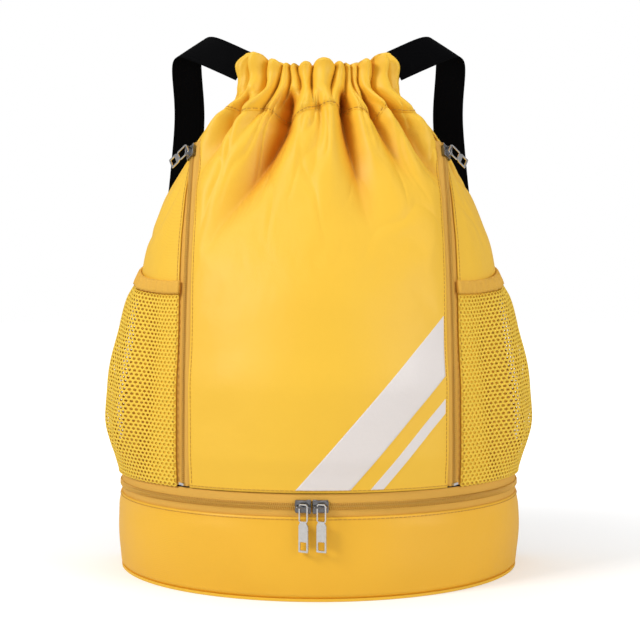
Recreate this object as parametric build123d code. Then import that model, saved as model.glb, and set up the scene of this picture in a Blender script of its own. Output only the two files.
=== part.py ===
from build123d import *
import math
import os

# A drawstring backpack with a zipped shoe compartment as its base.
# Frame: x to the right, -y to the front, +y to the back, z up; the underside is at z = 0.
# Right-hand parts lie at +x and are mirrored in the YZ plane. Millimetres throughout.

os.makedirs("parts", exist_ok=True)

# ---------------------------------------------------------------- driving sizes
FABRIC = 1.2            # coated fabric thickness

# base
BASE_R = 160.0          # radius of the round front, and half the width
BASE_CENTRE_Y = 70.0    # y of that round front's centre
BACK_Y = 90.0           # flat back plane
CORNER_R = 12.0         # back corner radius
BASE_WALL_TOP = 58.5    # top edge of the shoe compartment's wall
SEAM_Y = 70.5           # behind this y the base and the bag are sewn, not zipped
SEAM_Z = 66.0           # height of that sewn seam, the fabric hinge

# zips: distances across are from the zip's centre line, outward ones from the tape's face
TAPE_T = 0.8
TAPE_IN, TAPE_OUT = 0.9, 7.8
COIL_IN, COIL_OUT = 0.8, 3.0
COIL_LOW, COIL_HIGH = 0.02, 1.55

BASE_ZIP_Z = SEAM_Z     # centre line of the zip round the base
BASE_ZIP_END = 86.0     # degrees each side of the front centre to its ends
BASE_ZIP_R = BASE_R - FABRIC - 0.15    # outer face of its tape

FRONT_ZIP_X = 97.0      # the upright zips run on an arc in a plane of constant x
FRONT_ZIP_CENTRE_Y, FRONT_ZIP_CENTRE_Z, FRONT_ZIP_R = 325.1, 102.7, 383.0
FRONT_ZIP_LOW, FRONT_ZIP_HIGH = -4.0, 36.2    # arc angles of the ends, degrees
FRONT_ZIP_TILT = math.radians(52.0)    # the tape faces this far round from the front
FRONT_SLIDER_ANGLE = 35.0

# main bag
PANEL_LOW = 73.5        # lower edge of the panels
FRONT_ZIP_TOP_Z = 333.2    # the panels close up above this height
PANEL_SEAM = 0.8        # outline steps from the back seam to each panel's edge
ZIP_HALF_GAP = TAPE_OUT + 0.2

# drawstring tunnel
NECK_Z = 362.0          # its lower edge
TUNNEL_TOP = 398.0
TUNNEL_Y = 25.0
TUNNEL_MID = (57.0, 23.0)    # semi-axes of the oval midway through its wall

# shoulder straps
STRAP_W, STRAP_T = 25.0, 1.5
STRAP_X = 118.0         # centre of the strap's lower run
ADJUSTER_Z = 168.0

# bag sections: z, half width, front depth, centre y, back y, back squareness
SECTIONS = [
    (60.0, 160.0, 160.0, 70.0, 90.0, 8.0),
    (73.5, 160.0, 160.0, 70.0, 90.0, 8.0),
    (84.0, 160.0, 160.3, 70.0, 90.0, 7.8),
    (100.0, 158.4, 160.3, 69.2, 90.0, 7.5),
    (142.0, 153.5, 158.2, 67.0, 89.0, 7.0),
    (175.0, 149.5, 151.0, 65.0, 87.5, 6.5),
    (207.0, 145.5, 141.4, 62.0, 85.0, 6.0),
    (250.0, 138.5, 119.5, 56.0, 79.5, 5.0),
    (270.0, 133.5, 105.5, 52.5, 76.0, 4.5),
    (292.0, 124.5, 91.0, 49.0, 71.0, 4.0),
    (313.0, 113.0, 76.5, 44.0, 65.5, 3.4),
    (330.0, 102.5, 62.5, 39.5, 61.0, 3.0),
    (345.0, 89.0, 50.0, 34.0, 57.0, 2.6),
    (357.0, 76.0, 39.5, 29.5, 54.0, 2.3),
    (366.0, 66.0, 31.5, 26.5, 53.0, 2.1),
    (374.0, 62.0, 28.0, 25.0, 52.5, 2.0),
]
# mesh pockets: z, half width where they bulge
POCKET = [
    (60.0, 163.0), (74.0, 163.5), (85.0, 168.0), (97.0, 171.0), (120.0, 173.6),
    (143.0, 172.0), (177.0, 165.8), (212.0, 156.8), (250.0, 145.0),
]
POCKET_EXTRA = 3.0      # added to the pocket section's front depth and back y
# seam between back and side panels: z, x
BACK_SEAM = [
    (60.0, 147.0), (120.0, 146.0), (210.0, 135.0),
    (280.0, 118.0), (330.0, 92.0), (366.0, 52.0),
]
# heights of the panels' lofted sections
PANEL_LEVELS = [
    PANEL_LOW, 86, 100, 118, 136, 155, 175, 195, 215, 235, 255, 275, 295, 312, 323,
    FRONT_ZIP_TOP_Z + 0.2, 340, 347, 354, NECK_Z,
]
# shoulder strap, from tunnel to lower end: centre, direction of the webbing's width
STRAP_STATIONS = [
    ((69.0, TUNNEL_Y, 386.0), (-0.50, 0.0, 0.87)),
    ((75.0, 28.0, 397.5), (-0.68, 0.05, 0.73)),
    ((82.0, 33.0, 407.0), (-0.72, -0.10, 0.66)),
    ((90.0, 41.0, 412.0), (-0.70, -0.40, 0.55)),
    ((98.0, 52.0, 410.0), (-0.80, -0.55, 0.25)),
    ((103.5, 63.0, 401.0), (-0.90, -0.42, 0.05)),
    ((106.0, 71.0, 388.0), (-0.93, -0.36, 0.0)),
    ((107.5, 78.0, 362.0), (-0.93, -0.36, 0.0)),
    ((109.5, 83.5, 320.0), (-0.95, -0.28, 0.0)),
    ((112.0, 90.0, 262.0), (-0.99, -0.10, 0.0)),
    ((114.5, 94.2, 215.0), (-1.0, 0.0, 0.0)),
    ((STRAP_X, 95.0, 190.0), (-1.0, 0.0, 0.0)),
    ((STRAP_X, 95.0, 150.0), (-1.0, 0.0, 0.0)),
    ((STRAP_X, 95.0, 101.0), (-1.0, 0.0, 0.0)),
]


# ---------------------------------------------------------------- general helpers
def smooth(table, z, column=1):
    """Interpolates a table's column over its first one, never overshooting its points."""
    xs = [row[0] for row in table]
    ys = [row[column] for row in table]
    count = len(xs)
    step = [xs[i + 1] - xs[i] for i in range(count - 1)]
    rise = [(ys[i + 1] - ys[i]) / step[i] for i in range(count - 1)]
    slope = [0.0] * count
    slope[0], slope[-1] = rise[0], rise[-1]
    for i in range(1, count - 1):
        if rise[i - 1] * rise[i] > 0:
            before = 2 * step[i] + step[i - 1]
            after = step[i] + 2 * step[i - 1]
            slope[i] = (before + after) / (before / rise[i - 1] + after / rise[i])
    z = min(max(z, xs[0]), xs[-1])
    i = max(k for k in range(count - 1) if xs[k] <= z)
    part = (z - xs[i]) / step[i]
    rest = 1 - part
    return (ys[i] * (1 + 2 * part) * rest ** 2 + step[i] * slope[i] * part * rest ** 2
            + ys[i + 1] * part * part * (3 - 2 * part)
            + step[i] * slope[i + 1] * part * part * (part - 1))


def box(low, high):
    """Box between two opposite corners."""
    centre = [(start + end) / 2 for start, end in zip(low, high)]
    return Pos(*centre) * Box(*[end - start for start, end in zip(low, high)])


def prism(points, direction):
    """A closed polygon extruded along a direction."""
    return Solid.extrude(Face(Wire.make_polygon(points, close=True)), Vector(*direction))


def prism_xz(points, y0, y1):
    return prism([(x, y0, z) for x, z in points], (0, y1 - y0, 0))


def save(name, shapes):
    shapes = shapes if isinstance(shapes, list) else [shapes]
    flat = [solid for shape in shapes for solid in shape.solids()]
    result = flat[0] if len(flat) == 1 else Compound(children=flat)
    export_step(result, f"parts/{name}.step")


def save_both(name, right):
    """Writes the right-hand part, and its mirror image on the left."""
    right = right if isinstance(right, list) else [right]
    save(name + "_right", right)
    save(name + "_left", [mirror(shape, about=Plane.YZ) for shape in right])


# ---------------------------------------------------------------- the bag's outer surface
def bag_section(z, out=0.0, pocket=False, count=40):
    """Evenly spaced points of one horizontal section, moved outward by out."""
    half_width, depth, centre_y, back_y, square = (smooth(SECTIONS, z, k) for k in range(1, 6))
    if pocket:
        half_width = smooth(POCKET, z)
        depth += POCKET_EXTRA
        back_y += POCKET_EXTRA
    dense = []
    # elliptical front
    for i in range(360):
        angle = math.radians(-90 + i * 0.5)
        dense.append((half_width * math.sin(angle), centre_y - depth * math.cos(angle)))
    # squarer, superelliptical back
    for i in range(360):
        angle = math.radians(i * 0.5)
        cosine, sine = math.cos(angle), math.sin(angle)
        dense.append((half_width * math.copysign(abs(cosine) ** (2 / square), cosine),
                      centre_y + (back_y - centre_y) * abs(sine) ** (2 / square)))
    total = len(dense)
    offset = []
    for i in range(total):
        (x0, y0), (x1, y1) = dense[i - 1], dense[(i + 1) % total]
        size = math.hypot(x1 - x0, y1 - y0) or 1.0
        offset.append((dense[i][0] + out * (y1 - y0) / size,
                       dense[i][1] - out * (x1 - x0) / size))
    length = [0.0]
    for i in range(total):
        (x0, y0), (x1, y1) = offset[i], offset[(i + 1) % total]
        length.append(length[-1] + math.hypot(x1 - x0, y1 - y0))
    points, k = [], 0
    for j in range(count):
        target = length[-1] * j / count
        while length[k + 1] < target:
            k += 1
        part = (target - length[k]) / max(length[k + 1] - length[k], 1e-9)
        (x0, y0), (x1, y1) = offset[k % total], offset[(k + 1) % total]
        points.append(Vector(x0 + part * (x1 - x0), y0 + part * (y1 - y0), z))
    return points


def bag_solid(z0, z1, out, steps, pocket=False):
    """Filled loft of the bag between two heights, its surface moved outward by out."""
    wires = []
    for i in range(steps + 1):
        points = bag_section(z0 + (z1 - z0) * i / steps, out, pocket)
        wires.append(Wire([Edge.make_spline(points, periodic=True)]))
    return Solid.make_loft(wires)


# ---------------------------------------------------------------- shoe compartment (the base)
def base_prism(inset, z0, z1):
    """The base's outline, with round front, straight sides and flat back, between two heights."""
    radius, back = BASE_R - inset, BACK_Y - inset
    corner = max(CORNER_R - inset, 1.0)
    bow = corner * (1 - math.sqrt(0.5))
    flat_x, side_y = radius - corner, back - corner
    edges = [
        Edge.make_three_point_arc((-radius, BASE_CENTRE_Y, z0), (0, BASE_CENTRE_Y - radius, z0),
                                  (radius, BASE_CENTRE_Y, z0)),
        Edge.make_line((radius, BASE_CENTRE_Y, z0), (radius, side_y, z0)),
        Edge.make_three_point_arc((radius, side_y, z0), (radius - bow, back - bow, z0),
                                  (flat_x, back, z0)),
        Edge.make_line((flat_x, back, z0), (-flat_x, back, z0)),
        Edge.make_three_point_arc((-flat_x, back, z0), (-(radius - bow), back - bow, z0),
                                  (-radius, side_y, z0)),
        Edge.make_line((-radius, side_y, z0), (-radius, BASE_CENTRE_Y, z0)),
    ]
    return Solid.extrude(Face(Wire(edges)), Vector(0, 0, z1 - z0))


def base_wall():
    """The wall, with a taller strip at the back up to the sewn seam."""
    wall = base_prism(0, 2.0, BASE_WALL_TOP) - base_prism(FABRIC, 1.0, BASE_WALL_TOP + 1)
    strip = base_prism(0, BASE_WALL_TOP - 0.5, SEAM_Z - 0.2)
    strip = strip - base_prism(FABRIC, BASE_WALL_TOP - 1, SEAM_Z + 1)
    strip = strip & box((-200, SEAM_Y, 50), (200, 120, 80))
    return (wall + strip).clean()


def base_lining():
    inset, floor, thick = 2.3, 2.2, 0.6
    return base_prism(inset, floor, 51.0) - base_prism(inset + thick, floor + thick, 52.0)


save("base_wall", base_wall())
save("base_bottom_panel", base_prism(1.0, 0.0, 1.9))
save("base_board", base_prism(6.0, 3.0, 5.2))
save("base_lining", base_lining())
save("divider_floor", bag_solid(73.9, 75.1, -2.6, steps=1))

# ---------------------------------------------------------------- base zip
BASE_AXIS = Axis((0, BASE_CENTRE_Y, 0), (0, 0, 1))


def base_band(up, out, half=BASE_ZIP_END):
    """A band round the base: up from the zip's centre line, out from the tape's face."""
    corners = ((up[0], out[0]), (up[1], out[0]), (up[1], out[1]), (up[0], out[1]))
    profile = Face(Wire.make_polygon(
        [(0, BASE_CENTRE_Y - BASE_ZIP_R - far, BASE_ZIP_Z + rise) for rise, far in corners],
        close=True))
    profile = profile.rotate(BASE_AXIS, -half)
    return revolve(profile, axis=BASE_AXIS, revolution_arc=2 * half)


save("base_zip_tape_lower", base_band((-14.0, -TAPE_IN), (-TAPE_T, 0)))
save("base_zip_coil_lower", base_band((-COIL_OUT, -COIL_IN), (COIL_LOW, COIL_HIGH)))
save("base_zip_tape_upper", base_band((TAPE_IN, 7.2), (-TAPE_T, 0)))
save("base_zip_coil_upper", base_band((COIL_IN, COIL_OUT), (COIL_LOW, COIL_HIGH)))
end_stop = base_band((-2.9, -0.3), (0.05, 1.5), half=0.5)
save("base_zip_end_stops",
     [end_stop.rotate(BASE_AXIS, side * (BASE_ZIP_END + 0.9)) for side in (1, -1)])

# ---------------------------------------------------------------- zip slider and puller
# local frame: x along the travel with the head at +x, y across the tape, z out from its face
SLIDER_OUTLINE = [
    (-5.5, -3.4), (-5.5, 3.4), (-4.2, 4.1), (0.6, 4.1), (3.0, 4.8),
    (5.5, 4.8), (5.5, -4.8), (3.0, -4.8), (0.6, -4.1), (-4.2, -4.1),
]
BAR_HEIGHT, BAR_R = 6.2, 0.75    # the bridge's round bar
BRIDGE_HALF, BRIDGE_FOOT = 4.35, 2.8    # half its length, and the height its feet start at


def slider_body():
    """Two plates joined by side rails and a post, with a bridge over them for the puller."""
    plate = extrude(make_face(Polyline(*SLIDER_OUTLINE, close=True)), 1.1)
    plate = fillet(plate.edges().filter_by(Axis.Z), 0.55)
    plate = chamfer(plate.edges().group_by(Axis.Z)[-1], 0.3)
    body = Pos(0, 0, 1.95) * plate + Pos(0, 0, -1.0) * mirror(plate, about=Plane.XY)
    for side in (1, -1):
        rail_y = side * 3.95
        body = body + box((-5.2, rail_y - 0.45, 0.35), (5.0, rail_y + 0.45, 2.2))
    body = body + box((3.0, -0.6, -1.3), (5.0, 0.6, 2.3))
    path = FilletPolyline((-BRIDGE_HALF, 0, BRIDGE_FOOT), (-BRIDGE_HALF, 0, BAR_HEIGHT),
                          (BRIDGE_HALF, 0, BAR_HEIGHT), (BRIDGE_HALF, 0, BRIDGE_FOOT), radius=1.0)
    start = Plane(origin=(-BRIDGE_HALF, 0, BRIDGE_FOOT), z_dir=(0, 0, 1))
    return body + sweep(start * Circle(BAR_R), path=path)


def puller(end):
    """Plate hanging along -y from the bar to y = -end, with an eye and a window."""
    thick = 1.1
    tab = extrude(make_face(Polyline(
        (-2.3, -9.6), (-3.75, -12.6), (-3.85, -end),
        (3.85, -end), (3.75, -12.6), (2.3, -9.6), close=True)), thick)
    tab = fillet(tab.edges().filter_by(Axis.Z), 0.7)
    window = fillet(Box(5.0, 5.6, 4).edges().filter_by(Axis.Z), 0.5)
    tab = tab - Pos(0, 4.4 - end, thick / 2) * window
    tab = chamfer(tab.edges().group_by(Axis.Z)[-1], 0.22)
    # eye: a rounded ring round the bar
    ring = RectangleRounded(7.4, 13.0, 2.0) - RectangleRounded(5.2, 10.8, 0.9)
    eye = Pos(0, -4.1, 0) * extrude(ring, thick)
    eye = chamfer(eye.edges(), 0.25)
    # the eye passes under the bar on one side and over it on the other, so the plate is turned
    turn = math.degrees(math.atan2(2.95, 5.67))
    whole = Pos(0, 0, -thick / 2) * (tab + eye)
    return Pos(0.55, 0, BAR_HEIGHT + 0.12) * (Rot(0, -turn, 0) * whole)


SLIDER = slider_body()
LONG_PULLER, SHORT_PULLER = puller(31.0), puller(21.5)


def base_slider_place(degrees, head):
    """Place on the base zip, round from the front centre; head +1 points to +x, -1 to -x."""
    angle = math.radians(degrees)
    outward = Vector(math.sin(angle), -math.cos(angle), 0)
    travel = Vector(math.cos(angle), math.sin(angle), 0) * head
    origin = Vector(0, BASE_CENTRE_Y, BASE_ZIP_Z) + outward * BASE_ZIP_R
    return Location(Plane(origin=origin, x_dir=travel, z_dir=outward))


# The two sliders meet head to head; the right one's puller is turned so both hang down.
for side, degrees, head, turn in (("left", -3.80, 1, 0), ("right", 0.52, -1, 180)):
    place = base_slider_place(degrees, head)
    save("base_slider_" + side, place * SLIDER)
    save("base_puller_" + side, place * (Rot(0, 0, turn) * LONG_PULLER))


# ---------------------------------------------------------------- upright front zips
def front_zip_frame(degrees):
    """Point on the centre line, with the upward tangent, width direction and outward normal."""
    angle = math.radians(degrees)
    radial = Vector(0, -math.cos(angle), math.sin(angle))
    tangent = Vector(0, math.sin(angle), math.cos(angle))
    origin = Vector(FRONT_ZIP_X, FRONT_ZIP_CENTRE_Y, FRONT_ZIP_CENTRE_Z) + radial * FRONT_ZIP_R
    right = Vector(1, 0, 0)
    normal = radial * math.cos(FRONT_ZIP_TILT) + right * math.sin(FRONT_ZIP_TILT)
    across = right * math.cos(FRONT_ZIP_TILT) - radial * math.sin(FRONT_ZIP_TILT)
    return origin, tangent, across, normal


def front_band(width, out, low=FRONT_ZIP_LOW, high=FRONT_ZIP_HIGH):
    """A band along the zip between two arc angles, over a range across and one outward."""
    origin, _, across, normal = front_zip_frame(low)
    corners = ((width[0], out[0]), (width[1], out[0]), (width[1], out[1]), (width[0], out[1]))
    profile = Face(Wire.make_polygon(
        [tuple(origin + across * i + normal * j) for i, j in corners], close=True))
    # turning about -X raises the band along the arc
    axis = Axis((0, FRONT_ZIP_CENTRE_Y, FRONT_ZIP_CENTRE_Z), (-1, 0, 0))
    return revolve(profile, axis=axis, revolution_arc=high - low)


def front_band_pair(near, far, out, low=FRONT_ZIP_LOW, high=FRONT_ZIP_HIGH):
    """The same band on both sides of the centre line."""
    return [front_band(width, out, low, high) for width in ((near, far), (-far, -near))]


STOP_OUT = (0.05, 1.6)
save_both("front_zip_tapes", front_band_pair(TAPE_IN, TAPE_OUT, (-TAPE_T, 0)))
save_both("front_zip_coils", front_band_pair(COIL_IN, COIL_OUT, (COIL_LOW, COIL_HIGH),
                                             FRONT_ZIP_LOW + 0.4, FRONT_ZIP_HIGH - 0.3))
bottom_stop = front_band((-2.9, 2.9), STOP_OUT, FRONT_ZIP_LOW + 0.05, FRONT_ZIP_LOW + 0.3)
top_stops = front_band_pair(0.4, 2.9, STOP_OUT, FRONT_ZIP_HIGH - 0.25, FRONT_ZIP_HIGH + 0.05)
save_both("front_zip_stops", [bottom_stop] + top_stops)

# the slider's y is opposite to the width direction, so its puller points round to the back
origin, tangent, _, normal = front_zip_frame(FRONT_SLIDER_ANGLE)
place = Location(Plane(origin=origin, x_dir=tangent, z_dir=normal))
save_both("front_slider", place * SLIDER)
save_both("front_puller", place * SHORT_PULLER)

# ---------------------------------------------------------------- main bag panels
HALF_STEPS = 360
OUTLINE_STEPS = 2 * HALF_STEPS


def outline(z, out=0.0):
    """Section in 720 steps from the back's middle, round the right side to the front and on."""
    raw = bag_section(z, out, count=1440)
    half = sorted((p for p in raw if p.X > 0.05), key=lambda p: math.atan2(p.X, p.Y - 30.0))
    back_middle = Vector(0, max(p.Y for p in raw), z)
    front_middle = Vector(0, min(p.Y for p in raw), z)
    half = [back_middle] + half + [front_middle]
    length = [0.0]
    for start, end in zip(half, half[1:]):
        length.append(length[-1] + (end - start).length)
    points, k = [], 0
    for j in range(HALF_STEPS + 1):
        target = length[-1] * j / HALF_STEPS
        while k < len(half) - 2 and length[k + 1] < target:
            k += 1
        part = (target - length[k]) / max(length[k + 1] - length[k], 1e-9)
        points.append(half[k] * (1 - part) + half[k + 1] * part)
    return points + [Vector(-p.X, p.Y, z) for p in points[HALF_STEPS - 1:0:-1]]


def point_at(points, step):
    """Point at a fractional step of a closed outline."""
    j, count = int(math.floor(step)), len(points)
    return points[j % count] * (1 - step + j) + points[(j + 1) % count] * (step - j)


def stretch(points, start, end, count):
    """Evenly spaced points of an outline between two steps."""
    return [point_at(points, start + (end - start) * j / count) for j in range(count + 1)]


def strip_wire(outer, inner):
    """Closed wire round the strip between two open curves."""
    return Wire([Edge.make_spline(outer), Edge.make_line(outer[-1], inner[-1]),
                 Edge.make_spline(inner[::-1]), Edge.make_line(inner[0], outer[0])])


def nearest_step(outer, step, inner):
    """Step on the inner outline straight in from a step on the outer one."""
    target, count = point_at(outer, step), len(inner)
    rough = min(range(int(step) - 25, int(step) + 26),
                key=lambda k: (inner[k % count] - target).length)
    return min([rough + tenth / 10 for tenth in range(-10, 11)],
               key=lambda k: (point_at(inner, k) - target).length)


def zip_edge(z, width):
    """Where a line at a width across the upright zip crosses a height."""
    low, high = -0.3, math.radians(FRONT_ZIP_HIGH)
    for _ in range(40):
        angle = (low + high) / 2
        origin, _, across, _ = front_zip_frame(math.degrees(angle))
        point = origin + across * width
        low, high = (angle, high) if point.Z < z else (low, angle)
    return point


def marks(z, points):
    """Right-hand steps of the back seam, the side panel's front edge and the front panel's edge."""
    half = points[:HALF_STEPS]
    if z < FRONT_ZIP_TOP_Z:
        steps = []
        for width in (ZIP_HALF_GAP, -ZIP_HALF_GAP):
            edge = zip_edge(z, width)
            steps.append(min(range(HALF_STEPS),
                             key=lambda i: math.hypot(half[i].X - edge.X, half[i].Y - edge.Y)))
        side, front = steps[0] - 0.9, steps[1] + 0.9
    else:
        middle = min((i for i in range(HALF_STEPS) if half[i].X > 20),
                     key=lambda i: abs(half[i].Y - 20.0))
        gap = 1.3 + 6.4 * max(0.0, 1 - (z - FRONT_ZIP_TOP_Z) / 14.0)
        side, front = middle - gap, middle + gap
    seam_x = smooth(BACK_SEAM, z)
    back = min((i for i in range(HALF_STEPS) if half[i].Y > 42),
               key=lambda i: abs(half[i].X - seam_x) - 0.02 * half[i].Y)
    return back, side, front


def panel_limits(name, z, points, sewn):
    back, side, front = marks(z, points)
    if name == "front":
        return front, OUTLINE_STEPS - front
    if name == "back":
        return -back + PANEL_SEAM, back - PANEL_SEAM
    if sewn:
        side = max(i for i in range(HALF_STEPS) if points[i].Y > SEAM_Y + 0.4)
    return back + PANEL_SEAM, side


def panel(name, levels, sewn=False):
    """Shell of the bag over one panel; sewn ones end at the base zip's end."""
    wires = []
    for z in levels:
        outer, inner = outline(z), outline(z, -FABRIC)
        start, end = panel_limits(name, z, outer, sewn)
        inner_start = nearest_step(outer, start, inner)
        inner_end = nearest_step(outer, end, inner)
        wires.append(strip_wire(stretch(outer, start, end, 26),
                                stretch(inner, inner_start, inner_end, 26)))
    return Solid.make_loft(wires)


def panel_with_strip(name):
    """Behind the base zip the panel runs on down to the base's seam."""
    return [panel(name, PANEL_LEVELS),
            panel(name, [SEAM_Z + 0.3, 70.0, PANEL_LOW - 0.05], sewn=True)]


save("front_panel", panel("front", PANEL_LEVELS))
save("back_panel", panel_with_strip("back"))
save_both("side_panel", panel_with_strip("side"))

# inner wall of the front pocket, which the two upright zips open
liner = bag_solid(82, 322, -7.0, steps=10) - bag_solid(80, 324, -7.8, steps=10)
liner = liner & prism_xz([(-84, 82), (84, 82), (84, 290), (74, 320), (-74, 320), (-84, 290)],
                         -150, 10)
save("front_pocket_liner", liner)

# printed diagonal band and pinstripe: thin film on the front panel, leaning to the right
STRIPES = ((-20.0, 30.0), (44.0, 53.0))    # x limits at the lower edge
STRIPE_LEVELS = (75.5, 86, 100, 118, 136, 155, 175, 192)
STRIPE_SLOPE = math.tan(math.radians(48.7))


def stripe(x_left, x_right):
    wires = []
    for z in STRIPE_LEVELS:
        inner, outer = outline(z, 0.75), outline(z, 1.10)
        panel_edge = marks(z, outline(z))[2]
        shift = (z - STRIPE_LEVELS[0]) / STRIPE_SLOPE

        def step_at(x):
            return min(range(200, 520), key=lambda i: abs(inner[i].X - x))

        start = max(step_at(x_right + shift), panel_edge + 2)
        end = step_at(x_left + shift)
        # the stripe ends where it runs off the front panel
        if end - start < 4:
            break
        wires.append(strip_wire(stretch(outer, start, end, 12), stretch(inner, start, end, 12)))
    return Solid.make_loft(wires)


save("diagonal_band", [stripe(*limits) for limits in STRIPES])


# ---------------------------------------------------------------- drawstring tunnel
def tunnel_oval(offset, z0, z1):
    """Filled oval, offset from the middle of the tunnel's wall."""
    oval = Ellipse(TUNNEL_MID[0] + offset, TUNNEL_MID[1] + offset)
    return extrude(Pos(0, TUNNEL_Y, z0) * oval, z1 - z0)


def tunnel_halves():
    """Thick ring with a closed slot inside for the webbing, parted at both sides."""
    ring = tunnel_oval(6, NECK_Z + 0.3, TUNNEL_TOP) - tunnel_oval(-6, NECK_Z - 1, TUNNEL_TOP + 1)
    ring = ring - (tunnel_oval(1.2, NECK_Z + 4, TUNNEL_TOP - 4)
                   - tunnel_oval(-1.2, NECK_Z + 3, TUNNEL_TOP - 3))
    gap = box((-80, TUNNEL_Y - 6, NECK_Z - 2), (80, TUNNEL_Y + 6, TUNNEL_TOP + 2))
    return list((ring - gap).solids())


halves = tunnel_halves()
save("tunnel_front", [half for half in halves if half.center(CenterOf.MASS).Y < TUNNEL_Y])
save("tunnel_back", [half for half in halves if half.center(CenterOf.MASS).Y > TUNNEL_Y])
webbing = tunnel_oval(0.7, 368.0, 393.0) - tunnel_oval(-0.7, 367.0, 394.0)
save("drawstring_webbing",
     webbing - box((-80, TUNNEL_Y - 0.2, 360), (80, TUNNEL_Y + 0.2, 400)))

# ---------------------------------------------------------------- mesh side pockets
POCKET_SLOPE = 0.21     # rise of the pocket's top edge towards the back


def pocket_line(height):
    """Front and back (y, z) ends of a line sloping like the top edge; height is at y = 0."""
    return [(y, height + POCKET_SLOPE * y) for y in (-150, 90)]


def pocket_region(low_line, high_line):
    """Right-hand region between two lines in side view."""
    return prism([(0, y, z) for y, z in low_line + high_line[::-1]], (220, 0, 0))


def zip_clearance(width):
    """Region cut away from the pocket, reaching a width behind the zip's centre line."""
    return front_band((-60, width), (-60, 60), FRONT_ZIP_LOW - 8, FRONT_ZIP_HIGH + 0.3)


def right_pieces(shape):
    """The shape's real pieces at the right-hand side, without slivers."""
    return [solid for solid in shape.solids()
            if solid.volume > 100 and solid.center(CenterOf.MASS).X > 80]


def mesh_pocket():
    shell = (bag_solid(74.2, 248, 0.0, steps=12, pocket=True)
             - bag_solid(70, 252, -1.0, steps=12, pocket=True))
    shell = (shell & box((0, -150, 74.2), (200, 82, 250))) - zip_clearance(ZIP_HALF_GAP + 1.0)
    return right_pieces(shell & pocket_region([(-150, 60), (90, 60)], pocket_line(222)))


def pocket_binding():
    shell = (bag_solid(190, 254, 0.5, steps=6, pocket=True)
             - bag_solid(188, 256, -1.3, steps=6, pocket=True))
    region = pocket_region(pocket_line(222.3), pocket_line(233))
    shell = shell & box((0, -150, 180), (200, 82, 254)) & region
    return right_pieces(shell - zip_clearance(ZIP_HALF_GAP + 9.0))


save_both("mesh_pocket", mesh_pocket())
save_both("pocket_binding", pocket_binding())


# ---------------------------------------------------------------- shoulder straps
def ribbon(stations):
    """Webbing through stations of (centre, width direction), as flat triangles."""
    rings, last = [], len(stations) - 1
    for i, (centre, width_hint) in enumerate(stations):
        before = Vector(stations[max(i - 1, 0)][0])
        after = Vector(stations[min(i + 1, last)][0])
        along = (after - before).normalized()
        across = Vector(width_hint)
        across = (across - along * across.dot(along)).normalized()
        normal = along.cross(across)
        rings.append([Vector(centre) + across * (i_w * STRAP_W / 2) + normal * (i_t * STRAP_T / 2)
                      for i_w, i_t in ((-1, -1), (1, -1), (1, 1), (-1, 1))])
    triangles = []
    for ring, following in zip(rings, rings[1:]):
        for k in range(4):
            m = (k + 1) % 4
            triangles += [(ring[k], ring[m], following[m]), (ring[k], following[m], following[k])]
    first, final = rings[0], rings[-1]
    triangles += [(first[0], first[2], first[1]), (first[0], first[3], first[2]),
                  (final[0], final[1], final[2]), (final[0], final[2], final[3])]
    solid = Solid(Shell([Face(Wire.make_polygon(list(t), close=True)) for t in triangles]))
    # a shell that came out inside out is reversed
    return solid if solid.volume > 0 else Solid(solid.wrapped.Reversed())


def strap_box(half_width, y_range, z0, z1):
    """Box centred on the strap's lower run."""
    return box((STRAP_X - half_width, y_range[0], z0), (STRAP_X + half_width, y_range[1], z1))


def strap_adjuster():
    """Side rails, two end bars behind both layers and a middle bar between the layers."""
    half_width, rail, half_height = 14.4, 1.4, 12
    front, back = 93.2, 103.4
    low, high = ADJUSTER_Z - half_height, ADJUSTER_Z + half_height
    left, right = STRAP_X - half_width, STRAP_X + half_width
    body = (box((left, front, low), (left + rail, back, high))
            + box((right - rail, front, low), (right, back, high)))
    for bar_z in (ADJUSTER_Z - 10.2, ADJUSTER_Z + 10.2):
        body = body + strap_box(14, (100.6, back), bar_z - 1.8, bar_z + 1.8)
    body = body + strap_box(14, (96.2, 98.0), ADJUSTER_Z - 1.6, ADJUSTER_Z + 1.6)
    return fillet(body.edges().filter_by(Axis.X), 0.5)


save_both("shoulder_strap", ribbon(STRAP_STATIONS))
# folded tail that the adjuster holds against the strap
save_both("strap_tail", strap_box(STRAP_W / 2, (98.4, 98.4 + STRAP_T), 112.0, 186.0))
save_both("strap_adjuster", strap_adjuster())
# tapered anchor tab over the lower back corner, wider at the bottom
save_both("strap_anchor", prism_xz([(STRAP_X - 14, 100.0), (STRAP_X + 14, 100.0),
                                    (STRAP_X + 20, 78.0), (STRAP_X - 20, 78.0)], 91.2, 96.6))
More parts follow.
